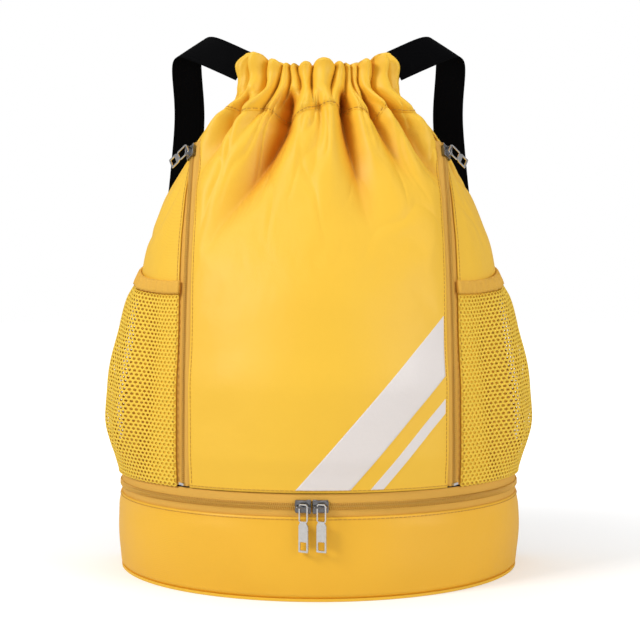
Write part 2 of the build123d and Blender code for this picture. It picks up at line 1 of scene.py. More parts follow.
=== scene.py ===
# A yellow drawstring backpack with a round zipped base, two upright front zips, a gathered
# top, mesh side pockets and black webbing straps.
# It stands on z = 0 with its front towards -Y and its right-hand side (seen from the front)
# towards +X. Lengths are in mm until new_obj scales them to metres. Places on the bag are given
# by height and by an angle in degrees: 0 front centre, 90 right, 180 back centre, -90 left.
import math
import bpy
import bmesh
import numpy as np
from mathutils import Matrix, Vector


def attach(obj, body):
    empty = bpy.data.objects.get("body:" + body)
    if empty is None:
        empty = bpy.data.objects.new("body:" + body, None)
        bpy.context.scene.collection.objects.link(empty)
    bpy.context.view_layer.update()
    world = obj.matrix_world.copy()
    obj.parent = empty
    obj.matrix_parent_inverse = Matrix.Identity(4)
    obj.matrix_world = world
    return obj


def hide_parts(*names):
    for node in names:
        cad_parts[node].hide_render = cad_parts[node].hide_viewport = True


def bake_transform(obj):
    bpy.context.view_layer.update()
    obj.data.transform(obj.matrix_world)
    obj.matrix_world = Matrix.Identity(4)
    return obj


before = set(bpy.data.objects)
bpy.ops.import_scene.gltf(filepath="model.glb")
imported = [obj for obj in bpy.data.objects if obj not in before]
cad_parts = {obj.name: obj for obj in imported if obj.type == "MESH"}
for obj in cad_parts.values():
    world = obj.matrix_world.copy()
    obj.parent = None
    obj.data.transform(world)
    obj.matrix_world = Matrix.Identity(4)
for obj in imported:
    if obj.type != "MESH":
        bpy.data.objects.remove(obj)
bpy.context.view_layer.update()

MM = 0.001
SIDES = ((1, "right"), (-1, "left"))

# ------------------------------------------------------------------ driving sizes
# z, half width, front depth, centre y, back y, squareness of the back half
SECTIONS = np.array([
    (0.0, 157.0, 157.0, 70.0, 88.0, 8.0),
    (4.0, 159.2, 159.2, 70.0, 89.4, 8.0),
    (30.0, 160.5, 160.5, 70.0, 90.4, 8.0),
    (60.0, 159.6, 159.6, 70.0, 90.0, 8.0),
    (76.0, 160.0, 160.0, 70.0, 90.0, 8.0),
    (84.0, 160.4, 160.8, 70.0, 90.4, 7.8),
    (100.0, 159.2, 162.6, 69.5, 90.8, 7.4),
    (142.0, 154.5, 160.5, 67.0, 90.2, 6.8),
    (175.0, 150.0, 152.5, 65.0, 88.4, 6.2),
    (207.0, 146.0, 142.0, 62.0, 85.6, 5.6),
    (228.0, 143.0, 132.0, 59.0, 82.6, 5.2),
    (251.0, 138.2, 119.5, 56.0, 79.5, 4.8),
    (269.0, 131.5, 108.5, 53.0, 76.4, 4.4),
    (288.0, 123.3, 96.0, 49.5, 72.2, 3.9),
    (306.0, 112.8, 84.0, 45.5, 68.0, 3.4),
    (325.0, 101.0, 71.5, 40.5, 62.5, 3.0),
    (338.0, 93.0, 63.0, 37.0, 59.5, 2.8),
    (349.0, 84.5, 55.0, 33.5, 57.0, 2.5),
    (355.0, 79.0, 49.5, 31.5, 55.5, 2.35),
    (361.0, 71.5, 43.0, 29.5, 54.0, 2.2),
    (367.0, 64.6, 36.0, 27.8, 53.5, 2.15),
    (372.0, 60.0, 31.5, 26.5, 53.0, 2.1),
    (378.0, 58.2, 29.0, 25.8, 52.8, 2.0),
    (384.0, 58.2, 28.5, 25.5, 52.5, 2.0),
    (390.0, 57.6, 28.8, 25.0, 53.0, 2.0),
    (396.0, 55.0, 27.6, 25.0, 52.5, 2.0),
    (402.0, 51.0, 25.0, 25.0, 50.0, 2.0),
])
# z, half width of the bag over the filled side pocket
POCKET_WIDTHS = np.array([
    (60, 160.5), (74, 160.5), (85, 163.0), (97, 166.3), (120, 169.6), (143, 168.4), (177, 162.6),
    (200, 157.8), (212, 153.6), (222, 147.6), (231, 142.8), (240, 139.9), (255, 137.0)], float)
# z, x of the seam between side and back panels
BACK_SEAM = np.array([(60, 147), (120, 146), (210, 135), (280, 118), (330, 92), (366, 52)], float)

PANEL_BOTTOM, PANEL_TOP = 75.0, 360.0
SETTLE_TOP = 352.0            # the simulated part of each panel ends here
CLOTH_THICK = 1.1
MOUTH_Y = 25.0                # centre of the gathered mouth
BASE_ZIP_Z = 66.0

# each upright zip lies on a circular arc in the plane |x| = ZIP_X
ZIP_X, ZIP_ARC_Y, ZIP_ARC_Z, ZIP_ARC_R = 97.0, 325.1, 102.7, 383.0
ZIP_TOP = 331.0
ZIP_HALF_OPENING = 6.6

STRAP_X = 118.0               # straps reach their anchors here
WEB_HALF_WIDTH, WEB_HALF_THICK = 12.5, 0.75


# ------------------------------------------------------------------ curves and noise
def monotone_curve(knots, values, x):
    """Monotone cubic through the knots, held constant beyond both ends."""
    knots, values = np.asarray(knots, float), np.asarray(values, float)
    step, slope = np.diff(knots), np.diff(values) / np.diff(knots)
    tangent = np.zeros_like(values)
    tangent[0], tangent[-1] = slope[0], slope[-1]
    for i in range(1, len(knots) - 1):
        if slope[i - 1] * slope[i] > 0:
            w1, w2 = 2 * step[i] + step[i - 1], step[i] + 2 * step[i - 1]
            tangent[i] = (w1 + w2) / (w1 / slope[i - 1] + w2 / slope[i])
    x = np.clip(x, knots[0], knots[-1])
    i = np.clip(np.searchsorted(knots, x, side="right") - 1, 0, len(knots) - 2)
    t = (x - knots[i]) / step[i]
    return (values[i] * (1 + 2 * t) * (1 - t) ** 2 + step[i] * tangent[i] * t * (1 - t) ** 2
            + values[i + 1] * t * t * (3 - 2 * t) + step[i] * tangent[i + 1] * t * t * (t - 1))


def smooth(start, end, x):
    t = np.clip((np.asarray(x, float) - start) / (end - start), 0, 1)
    return t * t * (3 - 2 * t)


def window(rise_start, rise_end, fall_start, fall_end, x):
    return smooth(rise_start, rise_end, x) * (1 - smooth(fall_start, fall_end, x))


def bell(x, width):
    return np.exp(-(x / width) ** 2)


def wrap(degrees):
    return (degrees + 180.0) % 360.0 - 180.0


def waves(x, y, z, size, seed):
    """Smooth noise: two octaves of seven sines in random directions."""
    random = np.random.default_rng(seed * 1000 + 11)
    total = np.zeros(np.broadcast(x, y, z).shape)
    for amplitude in (1.0, 0.5):
        for _ in range(7):
            way = random.normal(size=3)
            way /= np.linalg.norm(way)
            phase = random.uniform(0, 6.283)
            pace = random.uniform(0.7, 1.3)
            reach = (x * way[0] + y * way[1] + z * way[2]) * 6.283
            total = total + amplitude * np.sin(reach * pace / size + phase) / 3.2
        size *= 0.5
    return total / 1.5


def points(x, y, z):
    return np.stack(np.broadcast_arrays(x, y, z), -1)


# ------------------------------------------------------------------ the bag's smooth surface
def section(z):
    z = np.asarray(z, float)
    return [monotone_curve(SECTIONS[:, 0], SECTIONS[:, k], z) for k in range(1, 6)]


def skin(angle, z):
    """x, y and the outward horizontal normal: half ellipse in front, squarer curve behind."""
    angle, z = np.broadcast_arrays(np.asarray(angle, float), np.asarray(z, float))
    width, depth, centre, back_y, power = section(z)
    back = back_y - centre
    turn = np.radians(wrap(angle))
    side, turn = np.sign(turn) + (turn == 0), np.abs(turn)
    front = turn <= math.pi / 2
    past = np.clip(turn - math.pi / 2, 0, math.pi / 2)
    back_x = width * np.maximum(np.cos(past), 1e-9) ** (2 / power)
    x = np.where(front, width * np.sin(turn), back_x) * side
    y = np.where(front, centre - depth * np.cos(turn),
                 centre + back * np.maximum(np.sin(past), 1e-9) ** (2 / power))
    # normal from the section's implicit equation
    back = np.maximum(back, 1)
    rx, ry = x / width, np.where(front, (y - centre) / depth, (y - centre) / back)
    nx = np.where(front, 2 * rx / width, power * np.sign(rx) * np.abs(rx) ** (power - 1) / width)
    ny = np.where(front, 2 * ry / depth, power * np.sign(ry) * np.abs(ry) ** (power - 1) / back)
    length = np.hypot(nx, ny) + 1e-12
    return x, y, nx / length, ny / length


def offset_skin(angle, z, out=0.0):
    x, y, nx, ny = skin(angle, z)
    return points(x + nx * out, y + ny * out, z)


def zip_angle(z):
    """Angle of the right-hand upright zip's centre line at a height."""
    k = np.clip((np.asarray(z, float) - ZIP_ARC_Z) / ZIP_ARC_R, -0.25, 0.62)
    y = ZIP_ARC_Y - ZIP_ARC_R * np.sqrt(1 - k * k)
    width, depth, centre, _, _ = section(z)
    return np.degrees(np.arctan2(ZIP_X / width, (centre - y) / depth))


# zip line sampled over the full height, for the relief
RELIEF_Z = np.linspace(0, 420, 841)
RELIEF_ZIP = zip_angle(RELIEF_Z)

# ------------------------------------------------------------------ folds and gathers
# Folds running down from the neck: heights, angles, depth,
# half width in degrees at the top, at the bottom, height where the fold has faded out
VALLEYS = [
    ([372, 352, 335, 300, 262, 225], [-21, -17.5, -17.5, -24, -33, -39], 13.5, 6.5, 12.0, 226),
    ([385, 367, 350, 335, 300, 250], [19, 17, 14, 13.4, 14.5, 16], 15.0, 3.4, 10.0, 238),
    ([380, 364, 345, 320, 285], [33, 32, 30.5, 33, 37], 11.0, 3.2, 7.0, 276),
    ([385, 370, 350, 310, 270], [43, 44, 46, 51, 56], 11.0, 4.0, 10.0, 262),
    ([380, 368, 350, 320, 285], [-57, -52, -49, -51, -55], 8.0, 5.0, 9.0, 276),
    ([376, 368, 350, 320, 290], [-33, -33, -34, -38, -43], 5.5, 3.5, 7.0, 292),
    ([372, 366, 345, 310, 270], [-4, 0, 1.0, -1.0, -4], 5.0, 4.0, 9.0, 262),
    ([374, 368, 345, 310, 280], [25.6, 24.5, 22.5, 23, 25], 4.0, 2.6, 5.0, 290),
    ([378, 368, 340, 300, 262], [72, 72, 73, 77, 80], 8.0, 6.0, 9.0, 258),
    ([378, 368, 340, 300, 262], [-74, -73, -73, -78, -82], 8.0, 6.0, 9.0, 258),
    ([378, 368, 340, 300, 255], [112, 112, 110, 108, 106], 9.0, 6.0, 7.0, 256),
    ([378, 368, 340, 300, 255], [-111, -110, -108, -107, -105], 9.0, 6.0, 7.0, 256),
    ([378, 368, 340, 300, 250], [133, 132, 130, 127, 125], 8.0, 5.0, 6.0, 250),
    ([378, 368, 340, 300, 250], [-135, -134, -131, -128, -126], 8.0, 5.0, 6.0, 250),
    ([378, 368, 340, 300, 250], [157, 156, 154, 151, 149], 9.0, 6.0, 7.0, 240),
    ([378, 368, 340, 300, 250], [-156, -155, -153, -150, -148], 9.0, 6.0, 7.0, 240),
    ([378, 368, 340, 300, 250], [177, 178, 179, 181, 183], 10.0, 6.0, 8.0, 236),
]
RIDGES = [
    ([372, 350, 320, 280, 240], [6, 6.5, 5, 3, 0], 4.5, 7.0, 11.0, 236),
    ([372, 350, 320, 280, 240], [-8, -9, -10, -14, -20], 4.0, 6.0, 10.0, 240),
    ([372, 350, 320, 285, 250], [24, 22.5, 23, 26, 29], 5.5, 4.5, 8.0, 250),
    ([374, 350, 320, 285], [38, 38.5, 41, 45], 5.0, 4.5, 6.5, 276),
    ([374, 350, 320, 285, 250], [-40, -40, -41, -46, -52], 5.5, 6.5, 10.0, 250),
    ([374, 350, 320, 280], [58, 59, 62, 66], 4.5, 7.0, 9.0, 268),
    ([374, 350, 320, 280], [-62, -61, -64, -68], 4.5, 7.0, 9.0, 268),
]


def folds(angle, z):
    total = np.zeros(np.broadcast(angle, z).shape)
    for is_valley, group in ((True, VALLEYS), (False, RIDGES)):
        for heights, angles, depth, top_width, low_width, fade in group:
            drop = heights[0] - fade
            away = wrap(angle - np.interp(z, heights[::-1], angles[::-1]))
            width = low_width + (top_width - low_width) * np.clip((z - fade) / drop, 0, 1)
            # full depth near the neck, gone again where the tunnel begins
            size = (1.9 * depth * smooth(fade, fade + 0.92 * drop, z) ** 1.15
                    * (1 - smooth(356, 373, z)))
            if is_valley:
                # half round trough, half sharp groove
                sharp = np.sqrt(away * away + (0.10 * width) ** 2) - 0.10 * width
                total = total - size * (0.50 * bell(away, width)
                                        + 0.50 * np.exp(-sharp / (0.36 * width)))
            else:
                total = total + size * bell(away, width)
    return total


# valleys between the tunnel's pleats, in degrees round the mouth from -90 to 270
pleat_random = np.random.default_rng(12)
FRONT_PLEATS = [-90, -62, -43, -31.5, -23, -14.5, -4.0, 10.5, 19, 26, 33.5, 44, 60, 90]
BACK_PLEATS = (np.array([104, 117, 129, 140, 150, 160, 170, 181, 192, 203, 215, 229, 244, 258])
               + pleat_random.uniform(-2, 2, 14))
PLEAT_VALLEYS = np.sort(np.concatenate([FRONT_PLEATS, BACK_PLEATS, [270.0]]))
PLEAT_COUNT = len(PLEAT_VALLEYS) - 1
PLEAT_SKEWS = pleat_random.uniform(-3.0, 3.0, PLEAT_COUNT + 1)
PLEAT_HEIGHTS = pleat_random.uniform(0.8, 1.15, PLEAT_COUNT + 1)


def ring_xy(angle):
    """Circle on which one degree is one millimetre, for noise that follows the angle."""
    turn = np.radians(angle)
    return 57.3 * np.sin(turn), 57.3 * np.cos(turn)


def pleats(angle, z):
    """Soft pillows with sharp valleys between them, on the gathered tunnel."""
    angle, z = np.broadcast_arrays(np.asarray(angle, float), np.asarray(z, float))
    place = (angle + 90.0) % 360.0 - 90.0
    pillows = np.zeros(angle.shape)
    rise = (z - 372.0) / 26.0

    def valley(i):
        if 0 < i < PLEAT_COUNT:
            bend = 1.7 * np.sin(3.0 * rise + i * 1.7)
            return PLEAT_VALLEYS[i] + (PLEAT_SKEWS[i] * rise + bend)
        return PLEAT_VALLEYS[i]

    for i in range(PLEAT_COUNT):
        start = valley(i)
        end = np.maximum(valley(i + 1), start + 3.5)
        t = (place - start) / (end - start) * 2 - 1
        size = np.clip((PLEAT_VALLEYS[i + 1] - PLEAT_VALLEYS[i]) / 11.0, 0.60, 1.40)
        lean = 0.22 * np.sin(i * 2.1) * (1 - t * t)
        pillow = np.maximum(1 - np.abs(t + lean) ** 2.1, 0) ** 0.70
        pillows = np.where(np.abs(t) <= 1, PLEAT_HEIGHTS[i] * size * pillow, pillows)
    strength = smooth(344, 376, z) * (1 - 0.45 * smooth(395, 402, z))
    waist = 1 - 0.30 * bell(z - 382, 5)
    x, y = ring_xy(angle)
    crumple = waves(x, y, z * 0.25, size=9.0, seed=8) * 0.9 * smooth(352, 366, z)
    # the left and right ends puff out at the waist and draw in above and below it
    ends = smooth(50, 84, 90 - np.abs(np.abs(wrap(angle)) - 90))
    puff = ends * (0.8 * bell(z - 383, 6) - 5.0 * bell(z - 365, 11) - 8.0 * smooth(389, 401, z))
    return ((pillows - 0.66) * 9.8 + crumple) * strength * waist + puff


def swells(angle, z):
    """Soft dents and swells of the body, with faint upright flutes above."""
    x, y, _, _ = skin(angle, z)
    x = np.sqrt(x * x + 900.0)
    broad = waves(x, y, z * 0.6, size=210.0, seed=1)
    small = waves(x, y, z * 0.8, size=70.0, seed=2)
    flutes = np.cos(np.radians(np.abs(wrap(angle))) * 8.5 + 0.9 + 0.5 * np.sin(z / 60.0))
    return (window(84, 130, 330, 365, z) * (1.8 * broad + 0.55 * small)
            + 1.7 * flutes * window(170, 300, 325, 352, z))


def creases(angle, z):
    """Fine sharp wrinkles that fan down from the gathering."""
    x, y = ring_xy(angle)
    fine = np.maximum(1 - np.abs(waves(x, y, z * 0.13, size=17.0, seed=5)) * 3.2, 0) ** 1.6
    coarse = np.maximum(1 - np.abs(waves(x, y, z * 0.30, size=34.0, seed=6)) * 3.6, 0) ** 1.6
    return (-1.9 * fine * window(262, 345, 356, 370, z)
            - 1.5 * coarse * window(235, 300, 345, 362, z))


def seam_z(angle):
    """Height of the tunnel's lower stitch line, which dips into the deep folds."""
    q = wrap(angle)
    return (353.0 - 11.0 * bell(q + 19, 8.5) - 4.0 * bell(q - 14, 3.5) - 9.0 * bell(q - 31, 4.5)
            - 3.0 * bell(q + 49, 7) + 2.0 * np.sin(np.radians(q) * 11)
            + 3.5 * smooth(50, 80, np.abs(q)))


def relief(angle, z):
    """How far the cloth stands out from the smooth surface."""
    pinch = -2.4 * bell(z - seam_z(angle) - 0.5, 3.2)
    from_front = np.abs(wrap(angle))
    # the upright zips are stiff and hold the cloth to their own curve
    from_zip = from_front - np.interp(z, RELIEF_Z, RELIEF_ZIP)
    free = 1 - np.exp(-(from_zip / np.where(from_zip > 0, 11.0, 6.5)) ** 4)
    free = free + (1 - free) * smooth(333, 349, z)
    out = folds(angle, z) + swells(angle, z) + creases(angle, z)
    # the back lies flat behind the straps
    flat = smooth(110, 122, from_front) * (1 - smooth(285, 320, z))
    out = out - flat * np.maximum(out - 0.1, 0)
    return out * free + pleats(angle, z) + pinch


def fold_shade_depth(angle, z):
    """0 on the outside of the cloth to 1 deep in a fold; it only paints shade into the colour."""
    z = np.broadcast_to(z, np.broadcast(angle, z).shape)
    height = folds(angle, z) + 1.3 * np.minimum(pleats(angle, z), 0) + 0.9 * creases(angle, z)
    return np.clip(-height / 14.0 - 0.08, 0, 1)


def cloth(angle, z, out=0.0):
    """Outer surface of the bag above the base zip, moved out by a distance."""
    return offset_skin(angle, z, relief(angle, z) + out)


# ------------------------------------------------------------------ mesh helpers
def new_obj(name, verts, faces, material):
    mesh = bpy.data.meshes.new(name)
    mesh.from_pydata([tuple(v) for v in (np.asarray(verts) * MM)], [],
                     [tuple(int(i) for i in f) for f in faces])
    mesh.update()
    obj = bpy.data.objects.new(name, mesh)
    bpy.context.scene.collection.objects.link(obj)
    mesh.materials.append(material)
    mesh.polygons.foreach_set("use_smooth", [True] * len(mesh.polygons))
    return obj


def register(obj, body, slot, *replaced):
    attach(obj, body)
    if replaced:
        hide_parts(*replaced)


def fix_normals(obj):
    bm = bmesh.new()
    bm.from_mesh(obj.data)
    bmesh.ops.recalc_face_normals(bm, faces=bm.faces)
    bm.to_mesh(obj.data)
    bm.free()


def add_solid(name, solid, material, body, slot, replaced, side=1):
    """Object from (verts, faces) drawn for the right-hand side; side -1 mirrors it."""
    verts, faces = solid
    obj = new_obj(name, np.asarray(verts, float) * np.array([side, 1, 1]), faces, material)
    fix_normals(obj)
    register(obj, body, slot, replaced)


def shell(outer, inner, closed=False):
    """Closed solid between two (rows, cols, 3) grids; closed joins last column to first."""
    n_rows, n_cols = outer.shape[:2]
    n = n_rows * n_cols
    verts = np.concatenate([outer.reshape(-1, 3), inner.reshape(-1, 3)])
    index = np.arange(n).reshape(n_rows, n_cols)
    cols = np.arange(n_cols if closed else n_cols - 1)
    after = (cols + 1) % n_cols
    a = index[:-1][:, cols].ravel()
    b = index[:-1][:, after].ravel()
    c = index[1:][:, after].ravel()
    d = index[1:][:, cols].ravel()
    faces = [np.stack([a, b, c, d], 1), np.stack([a + n, d + n, c + n, b + n], 1)]
    low, high = index[0], index[-1]
    if closed:
        rims = [np.append(low, low[0]), np.append(high, high[0])[::-1]]
    else:
        rims = [low, high[::-1], index[:, -1], index[:, 0][::-1]]
    for rim in rims:
        start, end = rim[:-1], rim[1:]
        faces.append(np.stack([end, start, start + n, end + n], 1))
    return verts, np.concatenate(faces)


def grid_normals(grid, closed=False):
    if closed:
        along = np.roll(grid, -1, 1) - np.roll(grid, 1, 1)
    else:
        along = np.gradient(grid, axis=1)
    normal = np.cross(along, np.gradient(grid, axis=0))
    return normal / (np.linalg.norm(normal, axis=2, keepdims=True) + 1e-12)


def sheet(name, outer, thick, material, closed=False):
    verts, faces = shell(outer, outer - grid_normals(outer, closed) * thick, closed)
    return new_obj(name, verts, faces, material)


def paint_fold_shade(obj, depth):
    """Store the fold depth of a sheet's outer grid on both its faces, for the painted shade in the
    folds.
    """
    attribute = obj.data.attributes.new("dip", "FLOAT", "POINT")
    depth = np.asarray(depth, float).ravel()
    attribute.data.foreach_set("value", np.concatenate([depth, depth]))


def tube(path, radius, sides):
    """Round cord with closed ends along an (n, 3) path."""
    path = np.asarray(path, float)
    n = len(path)
    along = np.gradient(path, axis=0)
    along /= np.linalg.norm(along, axis=1, keepdims=True) + 1e-12
    up = np.array([0, 0, 1.0]) if abs(along[0][2]) < 0.9 else np.array([1.0, 0, 0])
    u = np.cross(along[0], up)
    u /= np.linalg.norm(u)
    turn = np.arange(sides) * 2 * math.pi / sides
    rings = []
    for i in range(n):
        u = u - along[i] * np.dot(u, along[i])
        u /= np.linalg.norm(u)
        w = np.cross(along[i], u)
        rings.append(path[i] + radius * (np.cos(turn)[:, None] * u + np.sin(turn)[:, None] * w))
    faces = []
    for i in range(n - 1):
        here, there = i * sides, (i + 1) * sides
        for k in range(sides):
            m = (k + 1) % sides
            faces.append((here + k, here + m, there + m, there + k))
    faces.append(tuple(range(sides))[::-1])
    faces.append(tuple((n - 1) * sides + k for k in range(sides)))
    return np.concatenate(rings), faces


def loft(grid):
    """Solid through closed profiles; grid is (stations, profile points, 3)."""
    n_rows, n_cols = grid.shape[:2]
    faces = []
    for i in range(n_rows - 1):
        here, there = i * n_cols, (i + 1) * n_cols
        for k in range(n_cols):
            m = (k + 1) % n_cols
            faces.append((here + k, there + k, there + m, here + m))
    faces.append(tuple(range(n_cols)))
    faces.append(tuple((n_rows - 1) * n_cols + k for k in range(n_cols))[::-1])
    return grid.reshape(-1, 3), faces


def join_solids(parts):
    all_verts, all_faces, count = [], [], 0
    for verts, faces in parts:
        all_verts.append(np.asarray(verts, float))
        all_faces += [tuple(int(i) + count for i in face) for face in faces]
        count += len(verts)
    return np.concatenate(all_verts), all_faces


def arc_length(path):
    steps = np.linalg.norm(np.diff(path, axis=0), axis=1)
    return np.concatenate([[0], np.cumsum(steps)])


def spaced(z0, z1, step):
    return np.linspace(z0, z1, max(int(round((z1 - z0) / step)), 2) + 1)


def ring_angles(cols):
    return np.linspace(-180, 180, cols, endpoint=False)


# ------------------------------------------------------------------ cloth simulation
def resample(field, n_rows, n_cols):
    """A (rows, cols, 3) field read on another grid, then softened except on its border."""
    old_rows, old_cols = field.shape[:2]
    a, b = np.linspace(0, old_rows - 1, n_rows), np.linspace(0, old_cols - 1, n_cols)
    i, j = np.minimum(a.astype(int), old_rows - 2), np.minimum(b.astype(int), old_cols - 2)
    fa, fb = (a - i)[:, None, None], (b - j)[None, :, None]
    out = ((1 - fa) * (1 - fb) * field[i][:, j] + (1 - fa) * fb * field[i][:, j + 1]
           + fa * (1 - fb) * field[i + 1][:, j] + fa * fb * field[i + 1][:, j + 1])
    for _ in range(4):
        soft = out.copy()
        soft[1:-1, 1:-1] = (4 * out[1:-1, 1:-1]
                            + 2 * (out[:-2, 1:-1] + out[2:, 1:-1]
                                   + out[1:-1, :-2] + out[1:-1, 2:])
                            + out[:-2, :-2] + out[:-2, 2:] + out[2:, :-2] + out[2:, 2:]) / 16.0
        out = soft
    return out


def cloth_settle(grid, weight):
    """Let a grid settle as cloth that grows where weight is high; returns each point's move.
    The two lowest rows and the two outer columns on each side are sewn down."""
    grow, frames, stiffness, longest_move = 0.055, 16, 8.0, 7.0
    n_rows, n_cols = grid.shape[:2]
    index = np.arange(n_rows * n_cols).reshape(n_rows, n_cols)
    corners = [index[:-1, :-1], index[:-1, 1:], index[1:, 1:], index[1:, :-1]]
    mesh = bpy.data.meshes.new("cloth_tmp")
    mesh.from_pydata((grid.reshape(-1, 3) * MM).tolist(), [],
                     np.stack(corners, -1).reshape(-1, 4).tolist())
    obj = bpy.data.objects.new("cloth_tmp", mesh)
    scene = bpy.context.scene
    scene.collection.objects.link(obj)
    pin = obj.vertex_groups.new(name="pin")
    sewn = np.zeros((n_rows, n_cols), bool)
    sewn[:2] = True
    sewn[:, [0, 1, -2, -1]] = True
    pin.add([int(k) for k in index[sewn]], 1.0, "REPLACE")
    more = obj.vertex_groups.new(name="more")
    for k, value in zip(index.ravel().tolist(), weight.ravel().tolist()):
        more.add([k], value, "REPLACE")
    modifier = obj.modifiers.new("cloth", "CLOTH")
    settings = modifier.settings
    settings.quality = 5
    settings.mass = 0.12
    settings.air_damping = 3.0
    settings.tension_stiffness = settings.compression_stiffness = stiffness
    settings.shear_stiffness = stiffness * 0.5
    settings.bending_stiffness = 0.05
    settings.tension_damping = settings.compression_damping = settings.shear_damping = 5.0
    settings.bending_damping = 0.5
    settings.vertex_group_mass = "pin"
    settings.vertex_group_shrink = "more"
    settings.shrink_min = -0.002
    settings.shrink_max = -grow
    settings.effector_weights.gravity = 0.0
    modifier.collision_settings.use_collision = False
    modifier.collision_settings.use_self_collision = False
    modifier.point_cache.frame_start, modifier.point_cache.frame_end = 1, frames
    for f in range(1, frames + 1):
        scene.frame_set(f)
    evaluated = obj.evaluated_get(bpy.context.evaluated_depsgraph_get())
    result = evaluated.to_mesh()
    settled = np.zeros(n_rows * n_cols * 3)
    result.vertices.foreach_get("co", settled)
    evaluated.to_mesh_clear()
    bpy.data.objects.remove(obj)
    bpy.data.meshes.remove(mesh)
    scene.frame_set(1)
    move = settled.reshape(n_rows, n_cols, 3) / MM - grid
    move[~np.isfinite(move)] = 0
    length = np.linalg.norm(move, axis=2, keepdims=True)
    return move * np.minimum(1.0, longest_move / np.maximum(length, 1e-9))


# ------------------------------------------------------------------ materials
def new_material(name):
    material = bpy.data.materials.new(name)
    material.use_nodes = True
    tree = material.node_tree
    tree.nodes.clear()
    output = tree.nodes.new("ShaderNodeOutputMaterial")
    shader = tree.nodes.new("ShaderNodeBsdfPrincipled")
    tree.links.new(shader.outputs[0], output.inputs[0])
    return material, tree, shader


def feed(tree, node, inputs):
    """Set each input to a value, or link it if a socket is given."""
    for key, value in inputs.items():
        if isinstance(value, bpy.types.NodeSocket):
            tree.links.new(value, node.inputs[key])
        else:
            node.inputs[key].default_value = value


def add_node(tree, kind, inputs=None, **settings):
    node = tree.nodes.new("ShaderNode" + kind)
    for key, value in settings.items():
        setattr(node, key, value)
    feed(tree, node, inputs or {})
    return node


def calc(tree, operation, *values):
    return add_node(tree, "Math", dict(enumerate(values)), operation=operation).outputs[0]


def noise(tree, coords, scale, detail, roughness=0.5):
    return add_node(tree, "TexNoise", {"Vector": coords, "Scale": scale, "Detail": detail,
                                       "Roughness": roughness}).outputs[0]


def map_range(tree, value, low, high, start=0.0, end=1.0, **settings):
    """Map start..end to low..high."""
    inputs = {0: value, 1: start, 2: end, 3: low, 4: high}
    return add_node(tree, "MapRange", inputs, **settings).outputs[0]


def mix_colour(tree, factor, first, second, blend="MIX"):
    # inputs 6 and 7 are the two colours, output 2 is the mixed colour
    return add_node(tree, "Mix", {0: factor, 6: first, 7: second},
                    data_type="RGBA", blend_type=blend).outputs[2]


def bump_node(tree, height, strength, distance, **under):
    return add_node(tree, "Bump", {"Height": height, "Strength": strength,
                                   "Distance": distance, **under}).outputs[0]


def fabric(name, color, dark, rough=0.62, weave=1700.0, bump=0.18, sheen=0.25, spec=0.35,
           vary=0.05, crumple=1.0):
    """Woven cloth. weave: fineness; bump: weave relief; vary: how far it drifts to dark;
    crumple: strength of the centimetre-sized unevenness."""
    material, tree, shader = new_material(name)
    coords = add_node(tree, "TexCoord").outputs["Object"]
    mapped = add_node(tree, "Mapping", {"Vector": coords}).outputs[0]
    x, y, z = add_node(tree, "SeparateXYZ", {0: mapped}).outputs
    # weave: crossed waves, one across and one upwards, roughened by fine noise
    across = calc(tree, "MULTIPLY", calc(tree, "ADD", x, y), weave * 3.0)
    upward = calc(tree, "MULTIPLY", z, weave * 3.0)
    crossed = calc(tree, "MULTIPLY", calc(tree, "SINE", across), calc(tree, "SINE", upward))
    fuzz = noise(tree, coords, scale=900.0, detail=3.0)
    threads = calc(tree, "MULTIPLY_ADD", fuzz, 0.8, crossed)
    patches = noise(tree, coords, scale=9.0, detail=4.0, roughness=0.55)
    lumps = noise(tree, coords, scale=55.0, detail=5.0, roughness=0.6)
    # colour: patches of the dark colour, painted shade (with the orange of light bounced between
    # folds) deep in the folds, darker between threads
    patch_share = map_range(tree, patches, low=0.0, high=vary * 8, start=0.35, end=0.65)
    patched = mix_colour(tree, patch_share, (*color, 1), (*dark, 1))
    depth = add_node(tree, "Attribute", attribute_name="dip").outputs["Fac"]
    # painted shade: deep in the folds the colour turns to this darker orange
    deep = (color[0] * 0.76, color[1] * 0.48, color[2] * 0.25, 1)
    folded = mix_colour(tree, depth, patched, deep)
    shade = map_range(tree, threads, low=0.90, high=1.0, start=-1.0, end=1.4)
    weave_bump = bump_node(tree, threads, strength=bump, distance=0.0004)
    feed(tree, shader, {
        "Base Color": mix_colour(tree, 1.0, folded, shade, blend="MULTIPLY"),
        "Normal": bump_node(tree, lumps, strength=0.25 * crumple, distance=0.002,
                            Normal=weave_bump),
        "Roughness": map_range(tree, lumps, low=rough - 0.05, high=rough + 0.07),
        "Sheen Weight": sheen,
        "Sheen Roughness": 0.4,
        "Sheen Tint": (*[min(1, c * 1.1 + 0.05) for c in color], 1),
        "Specular IOR Level": spec,
    })
    return material


def hard(name, color, rough, metallic=1.0):
    """Metal or plastic with faint unevenness."""
    material, tree, shader = new_material(name)
    coords = add_node(tree, "TexCoord").outputs["Object"]
    grain = noise(tree, coords, scale=420.0, detail=4.0)
    feed(tree, shader, {
        "Roughness": map_range(tree, grain, low=rough * 0.6, high=rough * 1.7),
        "Base Color": mix_colour(tree, grain, (*color, 1), (*[c * 0.82 for c in color], 1)),
        "Metallic": metallic,
        "Normal": bump_node(tree, grain, strength=0.05, distance=0.0002),
    })
    return material


